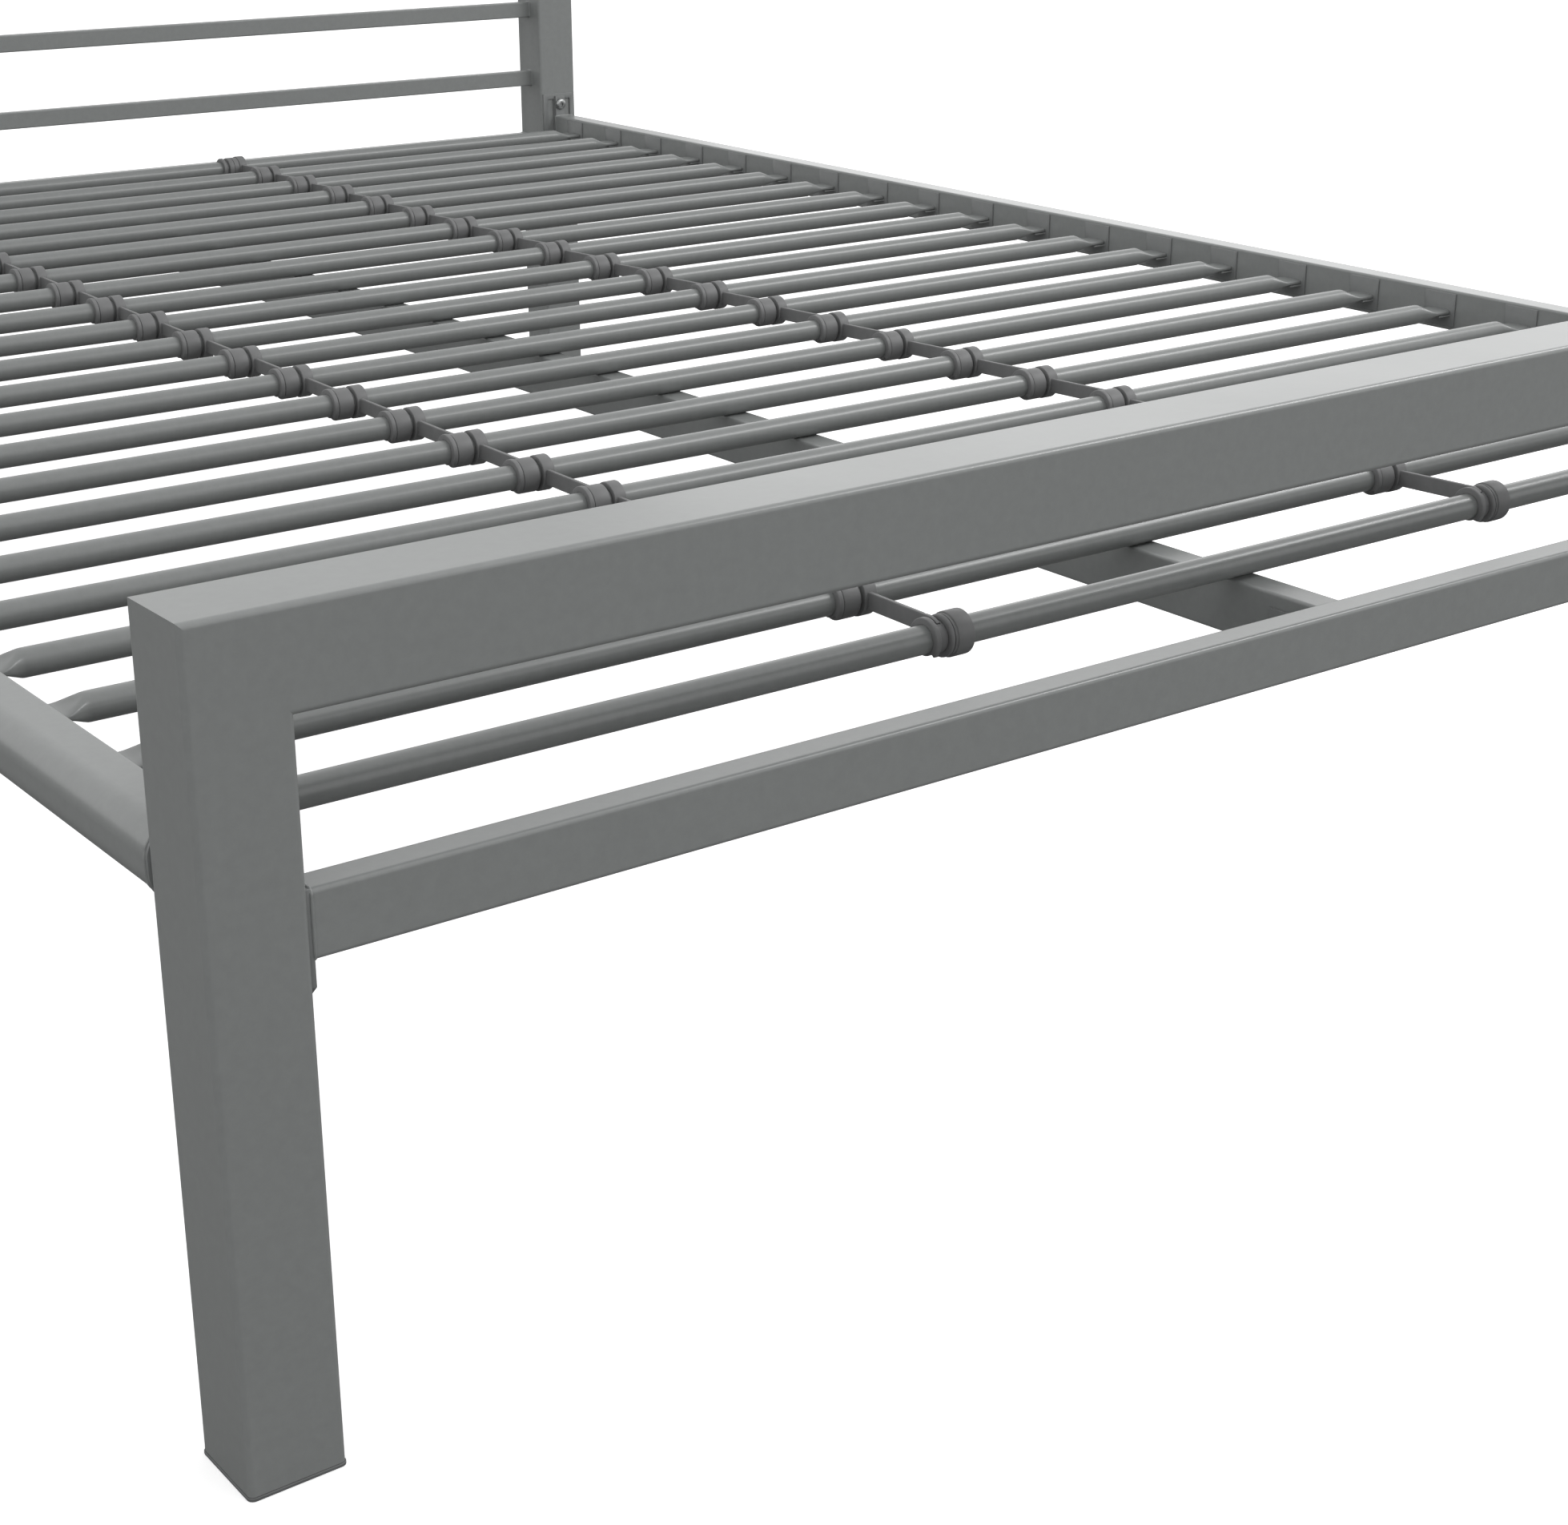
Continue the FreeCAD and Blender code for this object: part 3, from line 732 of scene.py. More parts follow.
def host_of(
    points: Sequence[Vector], edges: Sequence[tuple[int, int]] = (), turns: Sequence[Vector] = ()
) -> bpy.types.Object:
    """Object that a tree starts from.

    Args:
        points: The host's points.
        edges: Pairs of points that are joined.
        turns: Turn of each point about X, Y and Z, in radians.

    Returns:
        The host, which the tree's run removes.
    """
    mesh = bpy.data.meshes.new("host")
    mesh.from_pydata([tuple(point) for point in points], list(edges), [])
    if turns:
        attribute = mesh.attributes.new("turn", "FLOAT_VECTOR", "POINT")
        attribute.data.foreach_set("vector", [value for turn in turns for value in turn])
    return new_object("host", mesh)


# ---------------------------------------------------------------- end frames


@dataclass
class EndFrame:
    """Posts, top rail, crossbar and headboard bars of one end of the bed."""

    end: End
    post_radius: float = 3.0 * MM
    crossbar_radius: float = 2.5 * MM
    bar_radius: float = 1.5 * MM
    bar_count: int = 0

    def build(self) -> None:
        """Make every tube of this end, with the headboard's bars from the lowest up."""
        for side in Side:
            self.post(side)
        self.top_rail()
        self.cross_member(f"{self.end.word}_crossbar", self.crossbar_radius)
        for index in range(self.bar_count):
            self.cross_member(f"{self.end.word}_bar_{index + 1}", self.bar_radius)

    def post(self, side: Side) -> None:
        """Make a square post whose top is cut on the mitre.

        Args:
            side: The post's side of the bed.
        """
        node = f"{self.end.word}_post_{side.word}"
        low, high, middle = node_box(node)
        size = high.x - low.x
        section = Section.even(size, high.y - low.y, self.post_radius, 8)
        member = Member(
            section, Vector((middle.x, middle.y, 0)), X, Y, Z,
            square(low.z), lambda a, b: high.z - size / 2 + side.value * a, stop_ease=0.0,
        )
        lay_tube(node, member)

    def top_rail(self) -> None:
        """Make the square rail across the two posts, cut on the mitre at both ends."""
        node = f"{self.end.word}_top_rail"
        low, high, middle = node_box(node)
        size = high.z - low.z
        section = Section.even(high.y - low.y, size, self.post_radius, 8)
        member = Member(
            section, Vector((0, middle.y, middle.z)), Y, Z, X,
            lambda a, b: low.x + size / 2 - b, lambda a, b: high.x - size / 2 + b,
            start_ease=0.0, stop_ease=0.0,
        )
        lay_tube(node, member)

    @staticmethod
    def cross_member(node: str, radius: float) -> None:
        """Make a tube across the bed with square ends.

        Args:
            node: The CAD node that it stands for.
            radius: Radius of its corners.
        """
        low, high, middle = node_box(node)
        section = Section.even(high.y - low.y, high.z - low.z, radius, 5)
        origin = Vector((0, middle.y, middle.z))
        lay_tube(node, Member(section, origin, Y, Z, X, square(low.x), square(high.x)))


# ---------------------------------------------------------------- rails


@dataclass
class Rails:
    """Side rails with large outer corners and the centre rail under the slats."""

    outer_radius: float = 14.0 * MM
    inner_radius: float = 2.0 * MM
    centre_radius: float = 2.0 * MM

    def build(self) -> None:
        """Make the three rails."""
        for side in Side:
            self.rail(f"side_rail_{side.word}", self.radii(side), 12)
        self.rail("centre_rail", (self.centre_radius,) * 4, 5)

    @classmethod
    def radii(cls, side: Side) -> Radii:
        """Corner radii of the rail on one side, large on its outer corners."""
        outer, inner = cls.outer_radius, cls.inner_radius
        return (outer, inner, inner, outer) if side is Side.LEFT else (inner, outer, outer, inner)

    @staticmethod
    def rail(node: str, radii: Radii, steps: int) -> None:
        """Make a tube along the bed with square ends.

        Args:
            node: The CAD node that it stands for.
            radii: Corner radii of its section.
            steps: Number of flats in each corner.
        """
        low, high, middle = node_box(node)
        section = Section(high.x - low.x, high.z - low.z, radii, steps)
        origin = Vector((middle.x, 0, middle.z))
        lay_tube(node, Member(section, origin, X, Z, Y, square(low.y), square(high.y)))


# ---------------------------------------------------------------- plates


@dataclass
class Plates:
    """Folded and cut plates, as copies of the CAD plates with eased edges."""

    ease: float = 0.35 * MM
    flat_angle: float = 0.6
    sharp_angle: float = 40.0
    nodes: tuple[str, ...] = (
        "foot_hook_plates", "head_hook_plates", "foot_post_brackets", "head_post_brackets",
        "rail_end_plates_left", "rail_end_plates_right", "centre_rail_cradles",
        "slat_angles_left", "slat_angles_right",
    )

    def build(self) -> None:
        """Make every plate."""
        for node in self.nodes:
            self.plate(node)

    def plate(self, node: str) -> None:
        """Copy a CAD node's plates, merge them and put a small round on every edge.

        Args:
            node: The CAD node that it stands for.
        """
        work = bmesh.new()
        work.from_mesh(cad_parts[node].data)
        bmesh.ops.remove_doubles(work, verts=work.verts, dist=1e-6)
        bmesh.ops.dissolve_limit(
            work, angle_limit=math.radians(self.flat_angle), verts=work.verts, edges=work.edges
        )
        bmesh.ops.recalc_face_normals(work, faces=work.faces)
        sharp = [
            edge for edge in work.edges
            if len(edge.link_faces) == 2 and edge.calc_face_angle(0.0) > math.radians(self.sharp_angle)
        ]
        bmesh.ops.bevel(
            work, geom=sharp, offset=self.ease, offset_type="OFFSET", segments=2, profile=0.5,
            affect="EDGES", clamp_overlap=True,
        )
        name = f"{node}_plate"
        mesh = bpy.data.meshes.new(name)
        work.to_mesh(mesh)
        work.free()
        mesh.materials.clear()
        mesh.materials.append(PAINT.material(Slot.BRACKET_PAINT))
        smooth_shade(mesh, 50.0)
        seat(new_object(name, mesh), [node])


# ---------------------------------------------------------------- slats


@dataclass
class SlatDeck:
    """Round tube slats whose ends are pressed flat."""

    rows: RowTree
    radius: float = 8.4 * MM
    tab_length: float = 15.0 * MM
    taper_length: float = 17.0 * MM
    tab_half_width: float = 12.8 * MM
    tab_half_thickness: float = 2.0 * MM
    tip_radius: float = 2.5 * MM
    tip_bite: float = 0.2 * MM
    pinch: float = 0.24
    squareness: float = 2.2
    sides: int = 32
    sharp_angle: float = 55.0

    def build(self) -> None:
        """Make one slat and set copies of it along the bed."""
        names = slat_nodes()
        first, second = node_box(names[0])[2], node_box(names[1])[2]
        skin = Skin("slat_pattern", Slot.SLAT_PAINT)
        skin.loft(self.rings(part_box(names[0])[1].x))
        pattern = skin.build(self.sharp_angle)
        deck = self.rows.run(
            host_of([Vector()]), "slats", Slot.SLAT_PAINT,
            Piece=pattern, Count=len(names), Start=(0.0, first.y, first.z),
            Step=(0.0, second.y - first.y, 0.0),
        )
        bpy.data.objects.remove(pattern)
        smooth_shade(deck.data, self.sharp_angle)
        seat(deck, names)

    def rings(self, reach: float) -> list[Ring]:
        """Rings of a slat from its left tip to its right tip.

        Args:
            reach: Distance from the middle of the slat to either tip.

        Returns:
            The rings, about the slat's own axis.
        """
        stations: list[tuple[float, float, float]] = [(0.05, 0.0, 1.0)]
        taper_start = reach - self.tab_length - self.taper_length
        for step in range(1, 4):
            stations.append((taper_start * step / 3.02, 0.0, 1.0))
        for step in range(13):
            share = step / 12
            blend = 0.5 - 0.5 * math.cos(math.pi * share)
            stations.append((taper_start + self.taper_length * share, blend, 1.0))
        tab_start = reach - self.tab_length
        stations.append((tab_start + 0.5 * (self.tab_length - self.tip_radius), 1.0, 1.0))
        for step in range(6):
            angle = math.pi / 2 * step / 5
            narrow = 1.0 - (1.0 - math.cos(angle)) * self.tip_radius / self.tab_half_width
            place = reach - self.tip_radius * (1.0 - math.sin(angle)) - self.tip_bite
            stations.append((place, 1.0, narrow))
        right = [self.ring(x, blend, narrow, 1.0) for x, blend, narrow in stations]
        right.append(self.ring(reach, 1.0, stations[-1][2] - 0.02, 0.8))
        left = [[Vector((-point.x, point.y, point.z)) for point in ring] for ring in reversed(right)]
        return left + right

    def ring(self, x: float, blend: float, narrow: float, thin: float) -> Ring:
        """One ring of a slat, between its round section and its flat one.

        Args:
            x: Place along the slat.
            blend: 0 for the round tube and 1 for the pressed tab.
            narrow: Share of the tab's width that is kept.
            thin: Share of the tab's thickness that is kept.

        Returns:
            The ring's points.
        """
        wide = (self.radius + (self.tab_half_width - self.radius) * blend) * narrow
        thick = (self.radius + (self.tab_half_thickness - self.radius) * blend) * thin
        power = 2.0 / (2.0 + self.squareness * blend)
        points: Ring = []
        for side in range(self.sides):
            angle = 2 * math.pi * (side + 0.5) / self.sides
            y = math.copysign(abs(math.cos(angle)) ** power, math.cos(angle)) * wide
            z = math.copysign(abs(math.sin(angle)) ** power, math.sin(angle)) * thick
            dent = self.pinch * math.sin(math.pi * blend) * math.exp(-((y / (0.5 * wide)) ** 2))
            points.append(Vector((x, y, z * (1.0 - dent))))
        return points


# ---------------------------------------------------------------- plastic links


def eased(x_start: float, x_end: float, outer: float, ease: float, steps: int = 3) -> Outline:
    """Outside of a ring with both its edges rounded, from its low X to its high X.

    Args:
        x_start: Low end along X.
        x_end: High end along X.
        outer: Outside radius.
        ease: Radius of the two edges.
        steps: Number of flats in each edge.

    Returns:
        Points along X and out from the axis.
    """
    points = []
    for step in range(steps + 1):
        angle = math.pi / 2 * step / steps
        points.append((x_start + ease * (1 - math.sin(angle)), outer - ease * (1 - math.cos(angle))))
    points.reverse()
    low = [(x_start + x_end - x, radius) for x, radius in reversed(points)]
    return sorted(points) + sorted(low)


@dataclass
class LinkRows:
    """Moulded plastic links that space the slats in two rows, with their end rings.

    A strap's sections stand at places along Y, in millimetres: strap_over from the near
    slat's axis, and strap_under back from the far ring.
    """

    rows: RowTree
    column_offset: float = 232.0 * MM
    bore: float = 8.46 * MM
    lip_start: float = -21.0 * MM
    lip_end: float = -17.5 * MM
    lip_radius: float = 12.5 * MM
    lip_opening: float = 96.0
    lip_sink: float = 0.4 * MM
    sleeve_inset: float = 0.2 * MM
    sleeve_edge: float = 0.3 * MM
    groove_width: float = 0.5 * MM
    band_end: float = -4.5 * MM
    band_radius: float = 12.0 * MM
    neck_end: float = -10.5 * MM
    neck_radius: float = 9.6 * MM
    ring_start: float = -1.6 * MM
    ring_end: float = 7.6 * MM
    ring_radius: float = 12.5 * MM
    end_ring_radius: float = 13.3 * MM
    end_ring_width: float = 11.8 * MM
    collar_end: float = -5.4 * MM
    collar_radius: float = 12.5 * MM
    collar_groove_half: float = 0.35 * MM
    collar_groove_depth: float = 0.8 * MM
    running_gap: float = 0.3 * MM
    strap_thickness: float = 2.6 * MM
    strap_height: float = 11.0 * MM
    strap_near: Vector = field(default_factory=lambda: Vector((-13.5, 0.0, 6.5)) * MM)
    strap_far: Vector = field(default_factory=lambda: Vector((4.5, 0.0, -2.0)) * MM)
    strap_over: tuple[float, ...] = (-4.0, -3.0, -1.5, 0.0, 2.0, 4.0, 6.0, 7.5, 8.5)
    strap_under: tuple[float, ...] = (8.0, 6.0, 5.0, 4.0, 2.5, 0.0)
    strap_seat_gap: float = 0.5 * MM
    strap_heel: float = 4.0 * MM
    strap_heel_drop: float = 2.4 * MM
    strap_bend: float = 11.0 * MM
    strap_clear: float = 13.2 * MM
    strap_run_out: float = 20.0 * MM
    strap_root: float = 7.0 * MM
    strap_root_swell: float = 0.8
    edge: float = 0.6 * MM
    sharp_angle: float = 42.0

    def build(self) -> None:
        """Make both rows of links and the rings at their ends."""
        places = [node_box(name)[2] for name in slat_nodes()]
        self.pitch = places[1].y - places[0].y
        before_last = len(places) - 2
        first, inner, last = self.pattern(True, False), self.pattern(False, False), self.pattern(False, True)
        for side in Side:
            parts = []
            for pattern, start, count in (
                (first, 0, 1), (inner, 1, before_last - 1), (last, before_last, 1)
            ):
                parts.append(self.rows.run(
                    host_of([Vector()]), f"links_{side.word}_{start}", Slot.LINK_PLASTIC,
                    Piece=pattern, Count=count, Step=(0.0, self.pitch, 0.0),
                    Start=(side.value * self.column_offset, places[start].y, places[start].z),
                ))
            node = f"slat_links_{side.word}"
            seat(self.joined(parts, f"{node}_moulded"), [node])
        for pattern in (first, inner, last):
            bpy.data.objects.remove(pattern)
        self.end_rings(places[0], places[-1])

    def joined(self, parts: Sequence[bpy.types.Object], name: str) -> bpy.types.Object:
        """One object from several.

        Args:
            parts: The objects, which are used up.
            name: Name of the result.

        Returns:
            The joined object.
        """
        work = bmesh.new()
        for part in parts:
            work.from_mesh(part.data)
        mesh = bpy.data.meshes.new(name)
        work.to_mesh(mesh)
        work.free()
        mesh.materials.append(PAINT.material(Slot.LINK_PLASTIC))
        smooth_shade(mesh, self.sharp_angle)
        for part in parts:
            bpy.data.objects.remove(part)
        return new_object(name, mesh)

    def ring(self, skin: Skin, x_start: float, x_end: float, outer: float, centre: Vector) -> None:
        """Add a closed ring with rounded edges to a skin.

        Args:
            skin: The skin that gets it.
            x_start: Low end along X.
            x_end: High end along X.
            outer: Outside radius.
            centre: A point on the slat's axis that the X values start from.
        """
        profile = eased(x_start, x_end, outer, self.edge)
        skin.spin(profile + [(x_end, self.bore), (x_start, self.bore)], centre)

    def lipped_neck(self, skin: Skin, neck_end: float, centre: Vector) -> None:
        """Add a thin sleeve and the raised lip on it, which is open at the bottom.

        Args:
            skin: The skin that gets them.
            neck_end: Place along X where the sleeve ends.
            centre: A point on the slat's axis that the X values start from.
        """
        sleeve_start = self.lip_start + self.sleeve_inset
        sleeve = eased(sleeve_start, neck_end, self.neck_radius, self.sleeve_edge)
        skin.spin(sleeve + [(neck_end, self.bore), (sleeve_start, self.bore)], centre)
        root = self.bore + self.lip_sink
        lip = eased(self.lip_start, self.lip_end, self.lip_radius, self.edge)
        skin.spin(lip + [(self.lip_end, root), (self.lip_start, root)], centre, self.lip_opening)

    def collar(self, skin: Skin, x_start: float, x_end: float, centre: Vector) -> None:
        """Add a collar with a fine groove round its middle.

        Args:
            skin: The skin that gets it.
            x_start: Low end along X.
            x_end: High end along X.
            centre: A point on the slat's axis that the X values start from.
        """
        outer, groove = self.collar_radius, (x_start + x_end) / 2
        half, depth = self.collar_groove_half, self.collar_groove_depth
        profile = [
            (x_start, self.bore), (x_start, outer - 1.0 * MM), (x_start + 0.4 * MM, outer - 0.2 * MM),
            (x_start + 0.9 * MM, outer), (groove - half, outer), (groove - half / 2, outer - depth),
            (groove + half / 2, outer - depth), (groove + half, outer), (x_end, outer), (x_end, self.bore),
        ]
        skin.spin(profile, centre)

    def strap_rings(self, first: bool) -> list[Ring]:
        """Upright sections of the strap, from the top of the near slat to the front of the far ring.

        Args:
            first: Whether this is the link at the foot, whose strap leaves room for a ring.

        Returns:
            The rings, about the near slat's axis.
        """
        seat_radius = self.bore + self.strap_seat_gap
        stop = self.pitch - seat_radius
        clear = self.strap_clear
        stations = [y * MM for y in self.strap_over] + [seat_radius, self.strap_bend, clear]
        stations += [clear + (stop - self.strap_run_out - clear) * step / 6 for step in range(1, 7)]
        stations += [stop - back * MM for back in self.strap_under]
        rings: list[Ring] = []
        for y in stations:
            middle = self.strap_near.lerp(self.strap_far, max(y, 0.0) / self.pitch)
            low, high = middle.z - self.strap_height / 2, middle.z + self.strap_height / 2
            if abs(y) < seat_radius:
                low = max(low, math.sqrt(seat_radius**2 - y**2))
            if y < self.strap_heel:
                high -= self.strap_heel_drop * ((self.strap_heel - y) / (2 * self.strap_heel)) ** 2
            root = max(0.0, 1.0 - (stop - y) / self.strap_root)
            half = self.strap_thickness / 2 * (1.0 + self.strap_root_swell * root**2)
            left, right = middle.x - half, middle.x + half
            if first and y < self.collar_radius + self.running_gap:
                right = min(right, self.neck_end)
            radius = min(self.edge, 0.4 * (high - low))
            outline = Section.even(right - left, high - low, radius, 2).outline()
            centre = Vector(((left + right) / 2, y, (low + high) / 2))
            rings.append([centre + X * a + Z * b for a, b in outline])
        return rings

    def pattern(self, first: bool, last: bool) -> bpy.types.Object:
        """One link about the near slat's axis.

        Args:
            first: Whether it is the link at the foot, with a neck instead of a band.
            last: Whether it is the link at the head, with a larger far ring.

        Returns:
            The link, used as a pattern.
        """
        skin = Skin("link_pattern", Slot.LINK_PLASTIC)
        near, far = Vector(), Vector((0, self.pitch, 0))
        if first:
            self.lipped_neck(skin, self.neck_end, near)
        else:
            self.lipped_neck(skin, self.band_end - 1.0 * MM, near)
            self.ring(skin, self.lip_end + self.groove_width, self.band_end, self.band_radius, near)
        outer = self.end_ring_radius if last else self.ring_radius
        self.ring(skin, self.ring_start, self.ring_end, outer, far)
        skin.loft(self.strap_rings(first))
        return skin.build(self.sharp_angle)

    def end_rings(self, foot: Vector, head: Vector) -> None:
        """Make the stepped rings that close both rows.

        Args:
            foot: Middle of the slat at the foot.
            head: Middle of the slat at the head.
        """
        skin = Skin("slat_stop_rings_moulded", Slot.LINK_PLASTIC)
        for side in Side:
            across = X * side.value * self.column_offset
            collar_start = self.neck_end + self.running_gap
            self.collar(skin, collar_start, self.collar_end + self.edge, foot + across)
            ring_end = self.collar_end + self.end_ring_width
            self.ring(skin, self.collar_end, ring_end, self.end_ring_radius, foot + across)
            collar_start = (self.lip_end + self.neck_end) / 2
            self.lipped_neck(skin, collar_start + self.edge, head + across)
            self.collar(skin, collar_start, self.ring_start - self.running_gap, head + across)
        seat(skin.build(self.sharp_angle), ["slat_stop_rings"])


# ---------------------------------------------------------------- fasteners and caps


@dataclass(frozen=True)
class BoltSize:
    """Sizes of one kind of button-head bolt, in millimetres."""

    head: float
    height: float
    shank: float
    grip: float
    socket: float
    socket_depth: float = 2.3
    socket_lip: float = 0.2
    socket_ease: float = 0.25
    crown_share: float = 0.72
    rim: float = 0.9
    rim_ease: float = 0.25
    head_ease: float = 0.2
    tip_ease: float = 0.5
    tip_length: float = 0.6


@dataclass
class Bolts:
    """Button-head bolts with hexagon sockets, and the nuts inside the tubes."""

    places: ScatterTree
    large: BoltSize = BoltSize(head=14.0, height=4.0, shank=8.0, grip=16.0, socket=5.0)
    small: BoltSize = BoltSize(head=11.0, height=3.0, shank=6.0, grip=12.0, socket=4.0)
    plate_thickness: float = 3.0 * MM
    below_bracket_top: float = 13.0 * MM
    above_hook_bottom: float = 10.0 * MM
    cradle_inset: float = 24.0 * MM
    sides: int = 24
    sharp_angle: float = 35.0

    def build(self) -> None:
        """Make the large bolts and the small bolts, and put the nut finish on the CAD nuts."""
        self.batch("frame_bolts_large", self.large, self.large_seats(), 3, ["frame_bolts"])
        self.batch("frame_bolts_small", self.small, self.small_seats(), 5, [])
        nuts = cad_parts["weld_nuts"]
        nuts.data.materials.clear()
        nuts.data.materials.append(PAINT.material(Slot.NUT_STEEL))

    def batch(
        self, name: str, size: BoltSize, seats: Sequence[tuple[Vector, Vector]], seed: int,
        nodes: Sequence[str],
    ) -> None:
        """Set a bolt of one size in each of its seats.

        Args:
            name: The piece's name.
            size: The bolts' size.
            seats: Place under the head and outward direction of each bolt.
            seed: Seed of the turns of the sockets.
            nodes: The CAD nodes that it stands for.
        """
        pattern = self.pattern(size)
        points = [place for place, _ in seats]
        turns = [Vector(direction.to_track_quat("Z", "Y").to_euler()) for _, direction in seats]
        host = host_of(points, (), turns)
        made = self.places.run(host, name, Slot.BOLT_STEEL, Piece=pattern, Seed=seed)
        bpy.data.objects.remove(pattern)
        smooth_shade(made.data, self.sharp_angle)
        seat(made, nodes)

    def large_seats(self) -> list[tuple[Vector, Vector]]:
        """Place under the head and outward direction of each large bolt."""
        seats = []
        for end in End:
            for side in Side:
                post_x = node_box(f"{end.word}_post_{side.word}")[2].x
                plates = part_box(f"rail_end_plates_{side.word}")
                outer_face = plates[0].y if end is End.FOOT else plates[1].y
                face = outer_face - end.value * self.plate_thickness
                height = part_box(f"{end.word}_post_brackets")[1].z - self.below_bracket_top
                seats.append((Vector((post_x, face, height)), Vector((0, -end.value, 0))))
                low, high, middle = node_box(f"{end.word}_hook_plates")
                x = (low.x if side is Side.LEFT else high.x) - side.value * self.plate_thickness
                place = Vector((x, middle.y, low.z + self.above_hook_bottom))
                seats.append((place, Vector((-side.value, 0, 0))))
        return seats

    def small_seats(self) -> list[tuple[Vector, Vector]]:
        """Place under the head and outward direction of each bolt of the cradles."""
        low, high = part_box("centre_rail_cradles")
        return [(Vector((0, y, low.z)), -Z) for y in (low.y + self.cradle_inset, high.y - self.cradle_inset)]

    def pattern(self, size: BoltSize) -> bpy.types.Object:
        """One bolt along Z whose head is at the top.

        Args:
            size: The bolt's size.

        Returns:
            The bolt, used as a pattern.
        """
        shank, head, socket = size.shank / 2, size.head / 2, size.socket / 2
        rings = [
            self.disc(shank - size.tip_ease, -size.grip), self.disc(shank, -size.grip + size.tip_length),
            self.disc(shank, 0), self.disc(head - size.head_ease, 0), self.disc(head, size.rim_ease),
            self.disc(head, size.rim),
        ]
        crown = head - size.socket * size.crown_share
        for step in range(1, 6):
            angle = math.pi / 2 * step / 5
            rise = size.rim + (size.height - size.rim) * math.sin(angle)
            rings.append(self.disc(head - crown * (1 - math.cos(angle)), rise))
        rings.append(self.hexagon(socket + size.socket_lip, size.height))
        rings.append(self.hexagon(socket, size.height - size.socket_ease))
        rings.append(self.hexagon(socket, size.height - size.socket_depth))
        skin = Skin("bolt_pattern", Slot.BOLT_STEEL)
        skin.loft(rings)
        return skin.build(self.sharp_angle)

    def disc(self, radius: float, z: float) -> Ring:
        """Round ring in millimetres."""
        angles = [2 * math.pi * side / self.sides for side in range(self.sides)]
        return [Vector((radius * math.cos(a), radius * math.sin(a), z)) * MM for a in angles]

    def hexagon(self, radius: float, z: float) -> Ring:
        """Hexagonal ring in millimetres, with as many points as a round one."""
        points = []
        for side in range(self.sides):
            angle = 2 * math.pi * side / self.sides
            local = (angle % (math.pi / 3)) - math.pi / 6
            reach = radius * math.cos(math.pi / 6) / math.cos(local)
            points.append(Vector((reach * math.cos(angle), reach * math.sin(angle), z)) * MM)
        return points


@dataclass
class FootCaps:
    """Plastic caps with a thin flared lip under each post."""

    corner: float = 3.6 * MM
    plug_inset: float = 2.4 * MM
    plug_height: float = 14.0 * MM

    def build(self) -> None:
        """Make the four caps as one piece."""
        skin = Skin("foot_caps_moulded", Slot.CAP_PLASTIC)
        lip_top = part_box("foot_post_left")[0].z
        for end in End:
            for side in Side:
                middle = node_box(f"{end.word}_post_{side.word}")[2]
                skin.loft(self.rings(Vector((middle.x, middle.y, 0)), lip_top))
        seat(skin.build(35.0), ["foot_caps"])

    def rings(self, place: Vector, lip_top: float) -> list[Ring]:
        """Rings of one cap from the floor up into the post.

        Each level gives how far its ring is drawn in and its height, in millimetres.

        Args:
            place: Middle of the post on the floor.
            lip_top: Height of the lip's top face.

        Returns:
            The rings.
        """
        wide = 2 * (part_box("foot_caps")[1].x - node_box("foot_post_right")[2].x)
        lip, plug, top = lip_top / MM, self.plug_inset / MM, self.plug_height / MM
        levels = (
            (0.45, 0.0), (0.1, 0.25), (0.0, 0.6), (0.0, lip - 0.25), (0.25, lip), (plug, lip),
            (plug, top - 1.0), (plug + 1.0, top),
        )
        rings: list[Ring] = []
        for inset, z in levels:
            across = wide - 2 * inset * MM
            radius = max(self.corner - inset * MM, 0.8 * MM)
            outline = Section.even(across, across, radius, 5).outline()
            rings.append([place + Vector((a, b, z * MM)) for a, b in outline])
        return rings


# ---------------------------------------------------------------- welds


